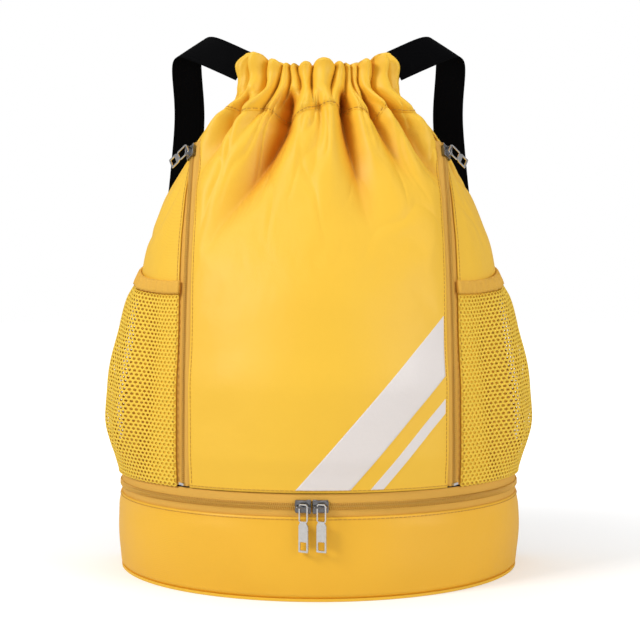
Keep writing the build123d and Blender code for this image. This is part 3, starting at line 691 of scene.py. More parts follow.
YELLOW = fabric("yellow_fabric_v", (0.93, 0.555, 0.040), (0.89, 0.50, 0.030),
                rough=0.50, sheen=0.12, spec=0.42, bump=0.10, crumple=0.8)
BASE_YELLOW = fabric("yellow_base_v", (0.92, 0.50, 0.026), (0.88, 0.45, 0.02),
                     rough=0.46, sheen=0.10, spec=0.45, bump=0.10, crumple=0.8)
# the bag's yellow darkened: the liner's colour, and painted shade for the cloth gathered inside the
# mouth
SHADED_LINING_YELLOW = fabric("shaded_lining_yellow_v", (0.55, 0.30, 0.05), (0.45, 0.24, 0.04), rough=0.7)
ZIP_TAPE = fabric("zip_tape_v", (0.80, 0.44, 0.072), (0.72, 0.38, 0.06),
                  rough=0.75, weave=2600, bump=0.30, vary=0.04)
ELASTIC = fabric("elastic_v", (0.84, 0.46, 0.060), (0.76, 0.40, 0.05),
                 rough=0.75, weave=2200, bump=0.35, vary=0.04)
ZIP_COIL = fabric("zip_coil_v", (0.76, 0.43, 0.065), (0.66, 0.36, 0.05),
                  rough=0.40, weave=3000, bump=0.05, spec=0.5)
THREAD = fabric("thread_v", (0.80, 0.43, 0.055), (0.70, 0.36, 0.045),
                rough=0.55, weave=4000, bump=0.2)
DARK_THREAD = fabric("thread_dark_v", (0.66, 0.35, 0.045), (0.58, 0.30, 0.035),
                     rough=0.55, weave=4000, bump=0.2)
MESH = fabric("mesh_v", (0.97, 0.64, 0.060), (0.93, 0.58, 0.05),
              rough=0.72, weave=3000, bump=0.25, sheen=0.3)
WEBBING = fabric("webbing_v", (0.0008, 0.0008, 0.0012), (0.0005, 0.0005, 0.0008),
                 rough=0.62, weave=2100, bump=0.35, sheen=0.0, spec=0.035)
PRINT = fabric("print_v", (0.80, 0.74, 0.71), (0.75, 0.69, 0.66),
               rough=0.45, weave=1700, bump=0.05, sheen=0.05, spec=0.4, vary=0.02)
DARK_LINING = fabric("dark_lining_v", (0.05, 0.05, 0.055), (0.04, 0.04, 0.045), rough=0.8)
BLACK_PLASTIC = hard("black_plastic_v", (0.015, 0.015, 0.016), rough=0.38, metallic=0.0)
PLATED_METAL = hard("plated_metal_v", (0.74, 0.73, 0.72), rough=0.20)
DARK_METAL = hard("dark_metal_v", (0.22, 0.22, 0.23), rough=0.22)

# ------------------------------------------------------------------ edges of the panels
EDGE_Z = np.linspace(56, 404, 1400)
edge_width, edge_depth, _, _, edge_power = section(EDGE_Z)
EDGE_ZIP = zip_angle(EDGE_Z)
# half the visible tape as an angle: its width over the arc length of one degree
zip_turn = np.radians(EDGE_ZIP)
EDGE_HALF = ZIP_HALF_OPENING / (np.hypot(edge_width * np.cos(zip_turn),
                                         edge_depth * np.sin(zip_turn)) * math.pi / 180.0)
back_share = np.interp(EDGE_Z, BACK_SEAM[:, 0], BACK_SEAM[:, 1]) / edge_width
EDGE_BACK = 90.0 + np.degrees(np.arccos(np.minimum(1.0, back_share ** (edge_power / 2))))


def opening_half(z):
    """Half the zip opening in degrees, closing up above the zip's end."""
    return np.interp(z, EDGE_Z, EDGE_HALF) * (1 - smooth(ZIP_TOP - 1, ZIP_TOP + 11, z))


def front_edge(z, side):
    return side * (np.interp(z, EDGE_Z, EDGE_ZIP) - opening_half(z))


def side_edge(z, side):
    return side * (np.interp(z, EDGE_Z, EDGE_ZIP) + opening_half(z))


def back_edge(z):
    """Angle of the seam between right side and back panels."""
    return np.interp(z, EDGE_Z, EDGE_BACK)


# ------------------------------------------------------------------ body panels
PANEL_Z = spaced(PANEL_BOTTOM, PANEL_TOP, 1.5)


def panel_points(start, end, heights, cols):
    """Angle and height grids between two edge functions."""
    angles = np.array([np.linspace(start(z), end(z), cols) for z in heights])
    return angles, np.repeat(heights[:, None], cols, 1)


def cloth_panel(name, start, end, cols, replaced):
    """Sewn panel between two edges; returns how far it settled from the plain surface."""
    angles, heights = panel_points(start, end, PANEL_Z, cols)
    grid = cloth(angles, heights)
    # the same panel, coarser, settles with a little too much length near the gathering
    coarse_angles, coarse_z = panel_points(start, end, spaced(PANEL_BOTTOM, SETTLE_TOP, 3.4),
                                           max(cols // (4), 24))
    move = cloth_settle(cloth(coarse_angles, coarse_z),
                        0.10 + 0.90 * smooth(215, 335, coarse_z))
    n = int(np.searchsorted(PANEL_Z, SETTLE_TOP))
    settled = resample(move, n, cols)
    # keep only the part that lifts or sinks the cloth, fading at the seam and low down
    normal = grid_normals(grid[:n])
    settled = normal * np.sum(settled * normal, 2, keepdims=True)
    seam, z = seam_z(angles[:n]), heights[:n]
    settled *= ((1 - smooth(seam - 24, seam - 2, z))
                * (0.2 + 0.8 * smooth(165, 260, z)))[..., None]
    grid[:n] += settled
    panel = sheet(name, grid, CLOTH_THICK, YELLOW)
    paint_fold_shade(panel, fold_shade_depth(angles, heights))
    register(panel, "bag", "yellow_fabric", replaced)
    return settled


front_cols, side_cols, back_cols = ((360, 180, 280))
FRONT_SETTLED = cloth_panel("front_panel_cloth", lambda z: front_edge(z, -1),
                            lambda z: front_edge(z, 1), front_cols, "front_panel")
cloth_panel("side_panel_cloth_right", lambda z: side_edge(z, 1), back_edge,
            side_cols, "side_panel_right")
cloth_panel("side_panel_cloth_left", lambda z: -back_edge(z), lambda z: side_edge(z, -1),
            side_cols, "side_panel_left")
cloth_panel("back_panel_cloth", back_edge, lambda z: 360.0 - back_edge(z),
            back_cols, "back_panel")


def front_settling(angle, z):
    """How far the settled front panel stands from the plain surface at each point."""
    n_rows, n_cols = FRONT_SETTLED.shape[:2]
    start, end = front_edge(z, -1), front_edge(z, 1)
    b = np.clip((angle - start) / (end - start), 0, 1) * (n_cols - 1)
    a = np.clip((z - PANEL_Z[0]) / (PANEL_Z[1] - PANEL_Z[0]), 0, n_rows - 1)
    i, j = np.minimum(a.astype(int), n_rows - 2), np.minimum(b.astype(int), n_cols - 2)
    fa, fb = (a - i)[..., None], (b - j)[..., None]
    field = FRONT_SETTLED
    return ((1 - fa) * (1 - fb) * field[i, j] + (1 - fa) * fb * field[i, j + 1]
            + fa * (1 - fb) * field[i + 1, j] + fa * fb * field[i + 1, j + 1])


# ------------------------------------------------------------------ gathered tunnel and mouth
def rim_z(angle):
    return 387.5 + 8.5 * smooth(18, 72, np.abs(wrap(angle)))


def gathered_tunnel():
    """Outer wall of the tunnel, its folded top, then down inside to the closed mouth."""
    angles = ring_angles(900)
    wall_rows = 44
    seam, rim = seam_z(angles), rim_z(angles)
    rings = []
    for k in np.linspace(0, 1, wall_rows):
        # tucked in at the seam, standing 0.8 mm proud above it
        out = 0.15 if k == 0 else 0.8 - 0.5 * math.exp(-((k - 0.05) / 0.03) ** 2)
        rings.append(cloth(angles, seam + (rim - seam) * k, out))
    # the top edge rises over crests and dips in valleys
    crest = (2.0 * np.clip(pleats(angles, rim - 5.0) / 4.0, -1.0, 1.2)
             + 0.8 * np.sin(np.radians(angles) * 5 + 1))
    for ring in rings:
        ring[:, 2] += crest * smooth(rim - 14, rim, ring[:, 2])
    # height above the rim, scale towards the middle
    inner_rings = ((1.2, 0.985), (1.8, 0.95), (1.2, 0.915), (-1.5, 0.885),
                   (-6, 0.865), (-14, 0.85), (-24, 0.835), (-34, 0.80))
    top = cloth(angles, rim, 0.7)
    for dz, scale in inner_rings:
        ring = top.copy()
        ring[:, 0] *= scale
        narrowing = (0.10 if dz < 0 else 0.0) + 0.45 * smooth(0, -34, dz)
        ring[:, 1] = MOUTH_Y + (ring[:, 1] - MOUTH_Y) * (scale - narrowing)
        ring[:, 2] = rim + dz + (crest if dz > -3 else 0)
        rings.append(ring)
    tunnel = sheet("gathered_tunnel", np.array(rings), 0.8, YELLOW, closed=True)
    # painted fold shade: each row takes the depth of the row below it; rows over the top take the
    # wall's last
    depth = np.array([fold_shade_depth(angles, rings[max(min(i, wall_rows) - 1, 0)][:, 2])
                      for i in range(len(rings))])
    # rows going down inside the mouth get a fixed painted shade
    depth[wall_rows + 3:] = 0.75
    paint_fold_shade(tunnel, depth)
    register(tunnel, "bag", "yellow_fabric", "tunnel_front", "tunnel_back")


def mouth_gathers(angles):
    """Cloth just inside that closes the mouth."""
    outline = cloth(angles, 372.0)
    rings = []
    # scale towards the middle, height
    for scale, z in ((0.80, 366), (0.66, 367.5), (0.5, 366.5), (0.34, 364), (0.2, 360),
                     (0.08, 352), (0.02, 346)):
        ring = outline.copy()
        ring[:, 0] *= min(1.0, scale + 0.12)
        ring[:, 1] = MOUTH_Y + (ring[:, 1] - MOUTH_Y) * scale
        ring[:, 2] = z + 2.2 * np.sin(np.radians(angles) * 17 + 3 * scale) * (scale + 0.15)
        rings.append(ring)
    # the gathered cloth inside the mouth takes the darker yellow as painted shade
    mouth = sheet("mouth_gathers", np.array(rings), 0.6, SHADED_LINING_YELLOW, closed=True)
    register(mouth, "bag", "yellow_fabric")


def drawstring(angles):
    """Flat webbing inside the tunnel, bunched with it."""
    heights = np.linspace(362.0, 371.0, 5)[:, None]
    band = sheet("drawstring_band", cloth(angles[None], heights, -2.2), 0.9, WEBBING, closed=True)
    register(band, "bag", "webbing", "drawstring_webbing")


gathered_tunnel()
mouth_gathers(ring_angles(240))
drawstring(ring_angles(240))


# ------------------------------------------------------------------ stitching
def stitches(name, line, length, body="bag", pitch=3.2, stitch=2.3, material=DARK_THREAD):
    """Row of raised stitches along line(t), t from 0 to 1, which gives (n, 3) points."""
    count = int(length / pitch)
    span = np.linspace(-0.5, 0.5, 4) * stitch / pitch
    t = (np.arange(count)[:, None] + 0.5 + span[None]) / count
    paths = line(t.ravel()).reshape(count, 4, 3)
    verts, faces = join_solids([tube(path, radius=0.32, sides=5) for path in paths])
    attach(new_obj(name, verts, faces, material), body)


def upright_line(angle_at, top, bottom=78):
    def line(t):
        z = bottom + (top - bottom) * t
        return cloth(angle_at(z), z, 0.15)
    return line


def tunnel_line(t):
    angle = -180 + 360 * t
    return cloth(angle, seam_z(angle) + 1.9, 0.75)


for side, side_name in SIDES:
    stitches("zip_topstitch_%s_0" % side_name,
             upright_line(lambda z: front_edge(z, side) - side * 0.75, top=330), length=258)
    stitches("zip_topstitch_%s_1" % side_name,
             upright_line(lambda z: side_edge(z, side) + side * 0.75, top=330), length=258)
    stitches("back_seam_stitch_" + side_name,
             upright_line(lambda z: side * (back_edge(z) + 1.2), top=350), length=285,
             material=THREAD)
stitches("tunnel_stitch", tunnel_line, length=560, pitch=3.0, stitch=2.0)

# ------------------------------------------------------------------ zips
COIL_PITCH = 1.5
COIL_WIDTH = 2.4


def build_zip(path, across, normal, half_width, rise=1.0, coil_end=0.0, rims=None):
    """Two tapes and two coils, each first on the side that across points to.
    rise: height of the coil loops; coil_end: length left without coil at the path's end;
    rims: for each tape, the points of its last two rows."""
    run = arc_length(path)

    def at(s, track):
        return np.array([np.interp(s, run, track[:, k]) for k in range(3)])

    tapes, coils = [], []
    for side in (1, -1):
        # the tape's cross-section, with a sewn groove at 3.1 and a ridge at 3.6
        offsets = np.array([0.35, 1.2, 2.8, 3.1, 3.6, 4.1, 4.6,
                            half_width - 0.5, half_width]) * side
        lifts = np.array([0.15, 0.25, 0.25, 0.0, 0.30, 0.0, 0.0, -0.1, -0.35])
        if side < 0:
            offsets, lifts = offsets[::-1], lifts[::-1]
        grid = (path[None] + across[None] * offsets[:, None, None]
                + normal[None] * lifts[:, None, None])
        if rims is not None:
            # the tape's sewn edge turns in under the panel's edge
            if side > 0:
                grid[-2], grid[-1] = rims[0]
            else:
                grid[1], grid[0] = rims[1]
        tapes.append(shell(grid, grid - normal[None] * 0.6))
        loops = []
        for i in range(int((run[-1] - coil_end) / COIL_PITCH)):
            s = (i + (0.25 if side > 0 else 0.75)) * COIL_PITCH
            centre, out, up = at(s, path), at(s, across) * side, at(s, normal)
            ahead = at(min(s + COIL_PITCH * 0.22, run[-1]), path) - centre
            loop = np.array([centre - out * 0.5 + up * 0.75,
                             centre + out * 0.3 + up * (0.75 + rise * 0.35),
                             centre + out * 1.4 + up * (0.75 + rise * 0.38) + ahead * 0.5,
                             centre + out * COIL_WIDTH + up * 0.55 + ahead])
            loops.append(tube(loop, radius=0.36, sides=5))
        coils.append(join_solids(loops))
    return tapes, coils


def upright_zip(side, side_name):
    z = np.linspace(76, 342, 268)
    # tape and coil lie on the slider's circular arc, tilted outwards
    tilt = math.radians(52.0)
    lift = (z - ZIP_ARC_Z) / ZIP_ARC_R
    radial = points(0.0, -np.sqrt(1 - lift * lift), lift)
    sideways = np.array([[1.0, 0, 0]])
    normal = radial * math.cos(tilt) + sideways * math.sin(tilt)
    across = sideways * math.cos(tilt) - radial * math.sin(tilt)
    path = np.array([[ZIP_X, ZIP_ARC_Y, ZIP_ARC_Z]]) + radial * ZIP_ARC_R - normal * 0.35
    mirror = np.array([[side, 1.0, 1.0]])
    path, normal, across = path * mirror, normal * mirror, across * mirror
    # past its end the tape follows the cloth it is sewn under
    middle = zip_angle(z) * side
    under = cloth(middle, z, -2.6)
    under_across = cloth(middle + side * 1.5, z, -2.6) - cloth(middle - side * 1.5, z, -2.6)
    under_across /= np.linalg.norm(under_across, axis=1, keepdims=True)
    k = smooth(ZIP_TOP - 2, ZIP_TOP + 3, z)[:, None]
    path = path * (1 - k) + under * k
    across = across * (1 - k) + under_across * k
    across = across / np.linalg.norm(across, axis=1, keepdims=True)
    outer, inner = side_edge(z, side), front_edge(z, side)
    rims = ((cloth(outer, z, -1.5), cloth(outer + side * 0.6, z, -1.8)),
            (cloth(inner, z, -1.5), cloth(inner - side * 0.6, z, -1.8)))
    tapes, coils = build_zip(path, across, normal, half_width=8.0, rise=0.7,
                             coil_end=14.5, rims=rims)
    add_solid("front_zip_tape_cloth_" + side_name, join_solids(tapes), ZIP_TAPE,
              "bag", "zip_tape", "front_zip_tapes_" + side_name)
    add_solid("front_zip_coil_teeth_" + side_name, join_solids(coils), ZIP_COIL,
              "bag", "zip_coil", "front_zip_coils_" + side_name)


def base_zip():
    """Zip round the front half; its upper tape is the bag's, its lower one the base's."""
    radius, centre_y = 158.8, 70
    turn = np.radians(np.linspace(-88.5, 88.5, 532))
    path = points(radius * np.sin(turn), centre_y - radius * np.cos(turn), BASE_ZIP_Z)
    normal = points(np.sin(turn), -np.cos(turn), 0.0)
    across = np.tile(np.array([0, 0, 1.0]), (len(turn), 1))
    tapes, coils = build_zip(path, across, normal, half_width=8.6)
    for tape, coil, level, body in zip(tapes, coils, ("upper", "lower"), ("bag", "base")):
        add_solid("base_zip_tape_%s_cloth" % level, tape, ZIP_TAPE,
                  body, "zip_tape", "base_zip_tape_" + level)
        add_solid("base_zip_coil_%s_teeth" % level, coil, ZIP_COIL,
                  body, "zip_coil", "base_zip_coil_" + level)


for side, side_name in SIDES:
    upright_zip(side, side_name)
base_zip()


# ------------------------------------------------------------------ base
def base_point(angle, z, out=0.0):
    x, y, _, _ = skin(angle, z)
    uneven = 0.9 * waves(x, y, z * 1.5, size=120.0, seed=4) * window(0, 14, 48, 58, z)
    belly = 0.8 * np.sin(np.clip((z - 2) / 56.0, 0, 1) * math.pi)
    return offset_skin(angle, z, uneven + out + belly)


def base_wall():
    angles = ring_angles(720)
    # height, offset: the rounded bottom edge
    foot = [(0.0, -7.0), (0.15, -4.5), (0.9, -2.0), (2.2, -0.7), (4.0, 0.0)]
    wall = [(z, 0.0) for z in spaced(5.5, 58.5, 1.6)]
    rings = np.array([base_point(angles, z, out) for z, out in foot + wall])
    obj = sheet("base_wall_cloth", rings, CLOTH_THICK, BASE_YELLOW, closed=True)
    register(obj, "base", "yellow_fabric", "base_wall")


def back_gusset():
    """Cloth strip across the back that joins base and bag."""
    angles = np.linspace(87.2, 272.8, 200)
    grid = np.array([offset_skin(angles, z) for z in np.linspace(57.5, 76.5, 16)])
    gusset = sheet("back_gusset", grid, 1.0, YELLOW)
    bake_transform(gusset)


def back_piping():
    path = offset_skin(np.linspace(90, 270, 160), BASE_ZIP_Z, 0.6)
    piping = new_obj("back_seam_piping", *tube(path, radius=1.3, sides=8), YELLOW)
    register(piping, "base", "yellow_fabric")


base_wall()
back_gusset()
back_piping()
stitches("base_topstitch", lambda t: base_point(-88 + 176 * t, 56.8, 0.2), length=470,
         body="base")
stitches("bag_lower_topstitch", lambda t: cloth(-88 + 176 * t, 76.6, 0.15), length=470)


# ------------------------------------------------------------------ printed diagonal bands
def band(name, left, right):
    """Print rising to the right; left and right are its x limits at its lowest row."""
    bottom, cols = 76.8, 24
    slope = math.tan(math.radians(48.7))
    grid = []
    for z in np.linspace(bottom, 215, 240):
        width = float(section(z)[0])
        panel_edge = width * math.sin(math.radians(front_edge(z, 1) - 1.2))
        shift = (z - bottom) / slope
        if left + shift > panel_edge - 0.05:
            break
        x = np.linspace(left + shift, min(right + shift, panel_edge), cols)
        angles = np.degrees(np.arcsin(np.clip(x / width, -1, 1)))
        heights = np.full(cols, float(z))
        grid.append(cloth(angles, heights, 0.22) + front_settling(angles, heights))
    return sheet(name, np.array(grid), 0.30, PRINT)


register(band("diagonal_band_wide", left=-16, right=22), "bag", "print_film", "diagonal_band")
register(band("diagonal_band_thin", left=36, right=45), "bag", "print_film")

# ------------------------------------------------------------------ mesh pockets
POCKET_BACK_ANGLE = 131.0
NET_BOTTOM = 74.5
NET_LENGTH, NET_HEIGHT = 172.0, 142.0     # the net laid flat
NET_PITCH = 3.3


def pocket_point(share, z, out=0.0):
    """Point on the right pocket; share runs 0..1 from the upright zip to the back corner."""
    start = side_edge(z, 1) - 0.4
    angle = start + (POCKET_BACK_ANGLE - start) * share
    bulge = monotone_curve(POCKET_WIDTHS[:, 0], POCKET_WIDTHS[:, 1], z) - section(z)[0]
    full = window(0.11, 0.31, 0.88, 1.0, share)
    near_zip = 1 - smooth(0.04, 0.16, share)
    x, y, _, _ = skin(angle, z)
    sag = (1.7 * waves(x * 1.4, y * 1.4, z * 0.5, size=60.0, seed=6)
           + 1.2 * waves(x, y, z * 0.35, size=34.0, seed=7))
    stand = np.maximum(bulge, 0) * full + 1.1 - 0.35 * near_zip + out + relief(angle, z)
    return offset_skin(angle, z, stand + sag * full * window(80, 110, 215, 240, z))


def pocket_top(share):
    """Height of the elastic's lower edge."""
    return 213.0 + 21.0 * smooth(0.0, 0.75, share) - 1.5 * np.sin(share * math.pi)


def flat_net():
    """Sheet of hexagonal cells with oval holes; cells share the points on their borders."""
    verts, index, faces = [], {}, []

    def vertex(u, w):
        key = (round(u * 200), round(w * 200))
        if key not in index:
            index[key] = len(verts)
            verts.append((u, w))
        return index[key]

    corner = NET_PITCH / math.sqrt(3)
    hexagon = [(corner * math.sin(math.radians(60 * i)), corner * math.cos(math.radians(60 * i)))
               for i in range(6)]
    outline = []
    for i in range(6):
        a, b = hexagon[i], hexagon[(i + 1) % 6]
        outline += [a, ((a[0] + b[0]) / 2, (a[1] + b[1]) / 2)]
    hole = []
    for u, w in outline:
        turn = math.atan2(w, u)
        hole.append((NET_PITCH * 0.335 * math.cos(turn), NET_PITCH * 0.28 * math.sin(turn)))
    row_height = NET_PITCH * math.sqrt(3) / 2
    for j in range(int(NET_HEIGHT / row_height)):
        for i in range(int(NET_LENGTH / NET_PITCH)):
            cu = (i + 0.5 + 0.5 * (j % 2)) * NET_PITCH
            cw = (j + 0.6) * row_height
            if cu > NET_LENGTH:
                continue
            outer = [vertex(cu + u, cw + w) for u, w in outline]
            inner = [vertex(cu + u, cw + w) for u, w in hole]
            for k in range(12):
                m = (k + 1) % 12
                faces.append((outer[k], outer[m], inner[m], inner[k]))
    return np.array(verts), faces


def pocket_net():
    flat, faces = flat_net()
    share = np.clip(flat[:, 0] / (NET_LENGTH + NET_PITCH * 0.5), 0, 1)
    rise = np.clip(flat[:, 1] / NET_HEIGHT, 0, 1.01)
    z = NET_BOTTOM + (pocket_top(share) + 1.0 - NET_BOTTOM) * rise
    outer = pocket_point(share, z)
    along = (pocket_point(np.clip(share + 0.004, 0, 1), z)
             - pocket_point(np.clip(share - 0.004, 0, 1), z))
    upward = pocket_point(share, z + 0.5) - pocket_point(share, z - 0.5)
    normal = np.cross(along, upward)
    normal /= np.linalg.norm(normal, axis=1, keepdims=True) + 1e-9
    n = len(outer)
    edges = dict.fromkeys((f[k], f[(k + 1) % len(f)]) for f in faces for k in range(len(f)))
    open_edges = [(a, b) for a, b in edges if (b, a) not in edges]
    return (np.concatenate([outer, outer - normal * 0.5]),
            [f[::-1] for f in faces] + [tuple(k + n for k in f) for f in faces]
            + [(a, b, b + n, a + n) for a, b in open_edges])


def pocket_binding():
    """Elastic wrapped over the net's top edge, slightly rippled outside."""
    share = np.linspace(-0.004, 1.0, 160)
    ripple = 0.35 * np.sin(share * 175)
    middle = pocket_top(np.clip(share, 0, 1)) + 5.2
    # height from the middle, offset outwards
    profile = [(-4.6, 0.5), (-4.7, 1.2), (-2.5, 1.7), (0, 1.75), (2.5, 1.7), (4.5, 1.3),
               (5.0, 0.2), (4.4, -0.9), (0, -1.2), (-4.4, -0.9)]
    rings = [pocket_point(share, middle + dz, out + (ripple if out > 1 else 0))
             for dz, out in profile]
    return loft(np.array(rings).transpose(1, 0, 2))


net, binding = pocket_net(), pocket_binding()
for side, side_name in SIDES:
    add_solid("mesh_pocket_net_" + side_name, net, MESH,
              "bag", "mesh", "mesh_pocket_" + side_name, side)
    add_solid("pocket_binding_elastic_" + side_name, binding, ELASTIC,
              "bag", "zip_tape", "pocket_binding_" + side_name, side)


# ------------------------------------------------------------------ shoulder straps
def webbing_profile(ribs, ripple):
    """Closed cross-section of the webbing: (across, through), with a groove by each edge."""
    h, t = WEB_HALF_WIDTH, WEB_HALF_THICK
    edge = [(-h, 0.0), (-h + 0.3, t * 0.8), (-h + 1.2, t * 1.05), (-h + 2.2, t * 1.0),
            (-h + 2.7, t * 0.72), (-h + 3.2, t)]
    middle = [(across, t * (1.0 + ripple * math.cos(i * math.pi)))
              for i, across in enumerate(np.linspace(-h + 4.2, h - 4.2, ribs))]
    top = edge + middle + [(-a, b) for a, b in edge[5:0:-1]] + [(h, 0.0)]
    return top + [(a, -b) for a, b in top[-2:0:-1]]


def strap_point(along, across, through):
    """Right strap: out of the tunnel's end, folded over on a slant, down to the anchor."""
    # directions before and after the fold, seen from the front as (x, z)
    before = np.array([0.883, 0.469])
    after = np.array([0.117, -0.993])
    fold = np.array([101.0, 414.0])
    fold_at = 46.0
    fold_radius = 3.4
    bisector = (before - after) / np.linalg.norm(before - after)
    perp = np.array([-before[1], before[0]])
    straight = (fold[None] + (along - fold_at)[:, None] * before[None]
                + across[:, None] * perp[None])
    h = (straight - fold[None]) @ bisector
    turn = np.clip(h / fold_radius, 0, math.pi)
    reach = np.where(h < 0, h, np.where(h > math.pi * fold_radius,
                                        -(h - math.pi * fold_radius),
                                        fold_radius * np.sin(turn)))
    reach = reach + through * np.sin(turn)
    behind = fold_radius * (1 - np.cos(turn)) - through * np.cos(turn)
    place = straight - h[:, None] * bisector[None] + reach[:, None] * bisector[None]
    x, z = place[:, 0], place[:, 1]
    # the long run straightens to vertical over the anchor, bowing inwards on its way
    down = np.maximum(along - fold_at, 0)
    x = x - np.maximum(down - 165.0, 0) * after[0] - 2.5 * smooth(165, 230, down)
    x = x - 7.0 * window(10, 70, 120, 230, down)
    # length along the strap, y
    run = np.array([(-6, 20), (14, 27), (26, 32), (40, 40), (50, 45), (58, 49), (72, 58),
                    (95, 70.5), (140, 82.5), (205, 91.5), (250, 94.6), (290, 95), (330, 95),
                    (420, 95)], float)
    share = across / WEB_HALF_WIDTH
    y = monotone_curve(run[:, 0], run[:, 1], along) + behind
    y = y + 0.35 * np.sin(along / 21.0) * share ** 2
    y = y - 1.2 * share * np.sin(np.clip(along / 90.0, 0, 1) * math.pi)
    return points(x, y, z)


def shoulder_strap():
    start, end = -2, 366
    n = 400
    along = np.linspace(start, end, n)
    grid = np.array([strap_point(along, np.full(n, a), np.full(n, b))
                     for a, b in webbing_profile(ribs=11, ripple=0.05)]).transpose(1, 0, 2)
    # webbing does not crease at a corner: round the turn over a few centimetres
    spread = 10.0 * (n - 1) / (end - start)
    reach = int(3 * spread)
    kernel = np.exp(-0.5 * (np.arange(-reach, reach + 1) / spread) ** 2)
    kernel /= kernel.sum()
    k = np.arange(reach, 0, -1)[:, None, None]
    padded = np.concatenate([grid[:1] - k * (grid[1:2] - grid[:1]), grid,
                             grid[-1:] + k[::-1] * (grid[-1:] - grid[-2:-1])])
    return loft(sum(kernel[i] * padded[i:i + n] for i in range(len(kernel))))


def strap_tail():
    """Loose end hanging behind the strap."""
    stations = np.array([(STRAP_X, 99.15, 186), (STRAP_X, 99.15, 165), (STRAP_X, 99.15, 145),
                         (STRAP_X, 99.15, 126), (STRAP_X, 99.3, 112)], float)
    run = arc_length(stations)
    s = np.linspace(0, run[-1], 60)
    path = np.stack([monotone_curve(run, stations[:, k], s) for k in range(3)], 1)
    for _ in range(6):
        path[1:-1] = path[1:-1] * 0.5 + (path[:-2] + path[2:]) * 0.25
    along = np.gradient(path, axis=0)
    along /= np.linalg.norm(along, axis=1, keepdims=True)
    across = np.array([[-1.0, 0, 0]])
    normal = np.cross(along, across)
    curl = 0.5 * np.sin(s / 37.0)
    grid = [path + across * a + normal * (b + (curl * (a / WEB_HALF_WIDTH) ** 2)[:, None])
            for a, b in webbing_profile(ribs=9, ripple=0.04)]
    return loft(np.array(grid).transpose(1, 0, 2))


def anchor_tab():
    """Tapered tab of bag fabric, softly swollen between its sewn edges."""
    cols, rows, height = 30, 20, 22
    grid = []
    for j in range(rows):
        k = j / (rows - 1)
        half = 20 - 6 * k
        across = np.linspace(0, 1, cols)
        from_side = np.minimum(across, 1 - across) * 2 * half
        inset = np.minimum(from_side, min(k, 1 - k) * height)
        puff = 2.1 * smooth(0.8, 6.0, inset) - 0.5 * bell(inset - 2.6, 0.7)
        x = np.linspace(STRAP_X - half, STRAP_X + half, cols)
        grid.append(points(x, 94.0 + puff, 78 + height * k))
    outer = np.array(grid)
    inner = outer.copy()
    inner[:, :, 1] = 91.4
    return shell(outer, inner)


strap, tail, tab = shoulder_strap(), strap_tail(), anchor_tab()
for side, side_name in SIDES:
    add_solid("shoulder_strap_webbing_" + side_name, strap, WEBBING,
              "strap_" + side_name, "webbing", "shoulder_strap_" + side_name, side)
    add_solid("strap_tail_webbing_" + side_name, tail, WEBBING,
              "strap_" + side_name, "webbing", "strap_tail_" + side_name, side)
for side, side_name in SIDES:
    add_solid("strap_anchor_tab_" + side_name, tab, YELLOW,
              "bag", "yellow_fabric", "strap_anchor_" + side_name, side)


# ------------------------------------------------------------------ front pocket's inner wall
def pocket_inner_wall():
    """Wall hanging behind the front panel."""
    angles, heights = panel_points(lambda z: -0.93 * front_edge(z, 1),
                                   lambda z: 0.93 * front_edge(z, 1), spaced(82, 318, 6.0), 60)
    wall = sheet("front_pocket_inner_wall", cloth(angles, heights, -10.5), 0.8, SHADED_LINING_YELLOW)
    register(wall, "bag", "lining", "front_pocket_liner")


pocket_inner_wall()

# ------------------------------------------------------------------ pieces that keep their CAD shape
CAD_PAINT = (
    (DARK_METAL, ("base_slider_left", "base_slider_right",
                  "front_slider_left", "front_slider_right")),
    (PLATED_METAL, ("base_puller_left", "base_puller_right",
                    "front_puller_left", "front_puller_right",
                    "base_zip_end_stops", "front_zip_stops_left", "front_zip_stops_right")),
    (BLACK_PLASTIC, ("strap_adjuster_left", "strap_adjuster_right")),
    (DARK_LINING, ("divider_floor", "base_lining", "base_board")),
    (YELLOW, ("base_bottom_panel",)),
)
for material, nodes in CAD_PAINT:
    for node in nodes:
        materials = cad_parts[node].data.materials
        materials.clear()
        materials.append(material)

# ------------------------------------------------------------------ floor, world, lights, camera
# from here on lengths are in metres
scene = bpy.context.scene


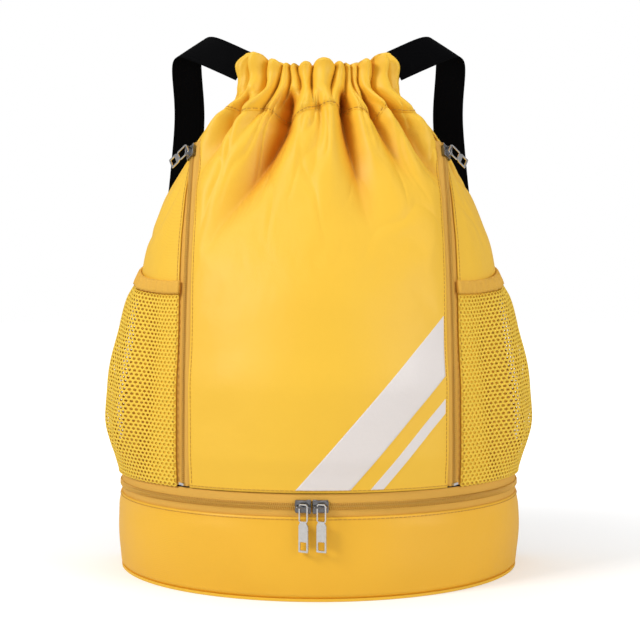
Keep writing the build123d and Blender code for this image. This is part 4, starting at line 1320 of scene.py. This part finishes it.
def pale_floor():
    """Square floor that the camera sees glowing brighter away from the bag; the weaker glow near the
    bag paints shade round it.
    """
    half, z = 30.0, -0.0002
    mesh = bpy.data.meshes.new("floor")
    mesh.from_pydata([(-half, -half, z), (half, -half, z), (half, half, z), (-half, half, z)],
                     [], [(0, 1, 2, 3)])
    floor = bpy.data.objects.new("floor", mesh)
    scene.collection.objects.link(floor)
    material, tree, shader = new_material("floor_pale")
    seen = add_node(tree, "LightPath").outputs["Is Camera Ray"]
    coords = add_node(tree, "TexCoord").outputs["Object"]
    distance = add_node(tree, "VectorMath", operation="LENGTH")
    tree.links.new(coords, distance.inputs[0])
    # painted shade: less glow near the bag darkens the floor round it
    glow = map_range(tree, distance.outputs["Value"], low=0.34, high=0.95,
                     start=0.20, end=0.95, interpolation_type="SMOOTHSTEP")
    feed(tree, shader, {
        "Base Color": (0.78, 0.78, 0.78, 1),
        "Roughness": 0.9,
        "Specular IOR Level": 0.05,
        "Emission Color": (1, 1, 1, 1),
        "Emission Strength": calc(tree, "MULTIPLY", seen, glow),
    })
    mesh.materials.append(material)


def white_world():
    """White to the camera, dimmer as a light source."""
    world = bpy.data.worlds.new("world")
    scene.world = world
    world.use_nodes = True
    tree = world.node_tree
    seen = add_node(tree, "LightPath").outputs["Is Camera Ray"]
    feed(tree, tree.nodes["Background"], {
        0: (1, 1, 1, 1),
        1: map_range(tree, seen, low=0.36, high=1.0),
    })


def area_light(name, location, target, size, power):
    light = bpy.data.lights.new(name, "AREA")
    light.shape = "RECTANGLE"
    light.size = light.size_y = size
    light.energy = power
    light.color = (1, 1, 1)
    obj = bpy.data.objects.new(name, light)
    obj.location = location
    aim = Vector(target) - Vector(location)
    obj.rotation_euler = aim.to_track_quat("-Z", "Y").to_euler()
    scene.collection.objects.link(obj)


def front_camera():
    lens = bpy.data.cameras.new("camera")
    lens.lens = 68.7
    lens.sensor_width = 36.0
    camera = bpy.data.objects.new("camera", lens)
    camera.location = (0.00106, -0.930, 0.197)
    camera.rotation_euler = (math.radians(90 - 0.18), 0, 0)
    scene.collection.objects.link(camera)
    scene.camera = camera


pale_floor()
white_world()
area_light("key", location=(-1.45, -1.00, 1.20), target=(0, 0, 0.28), size=0.6, power=23)
area_light("fill", location=(1.55, -1.15, 0.75), target=(0, 0, 0.22), size=0.9, power=16)
area_light("top", location=(-0.1, 0.1, 1.9), target=(0, 0, 0.1), size=1.3, power=9)
front_camera()
scene.view_settings.view_transform = "Standard"
scene.view_settings.exposure = 0.0
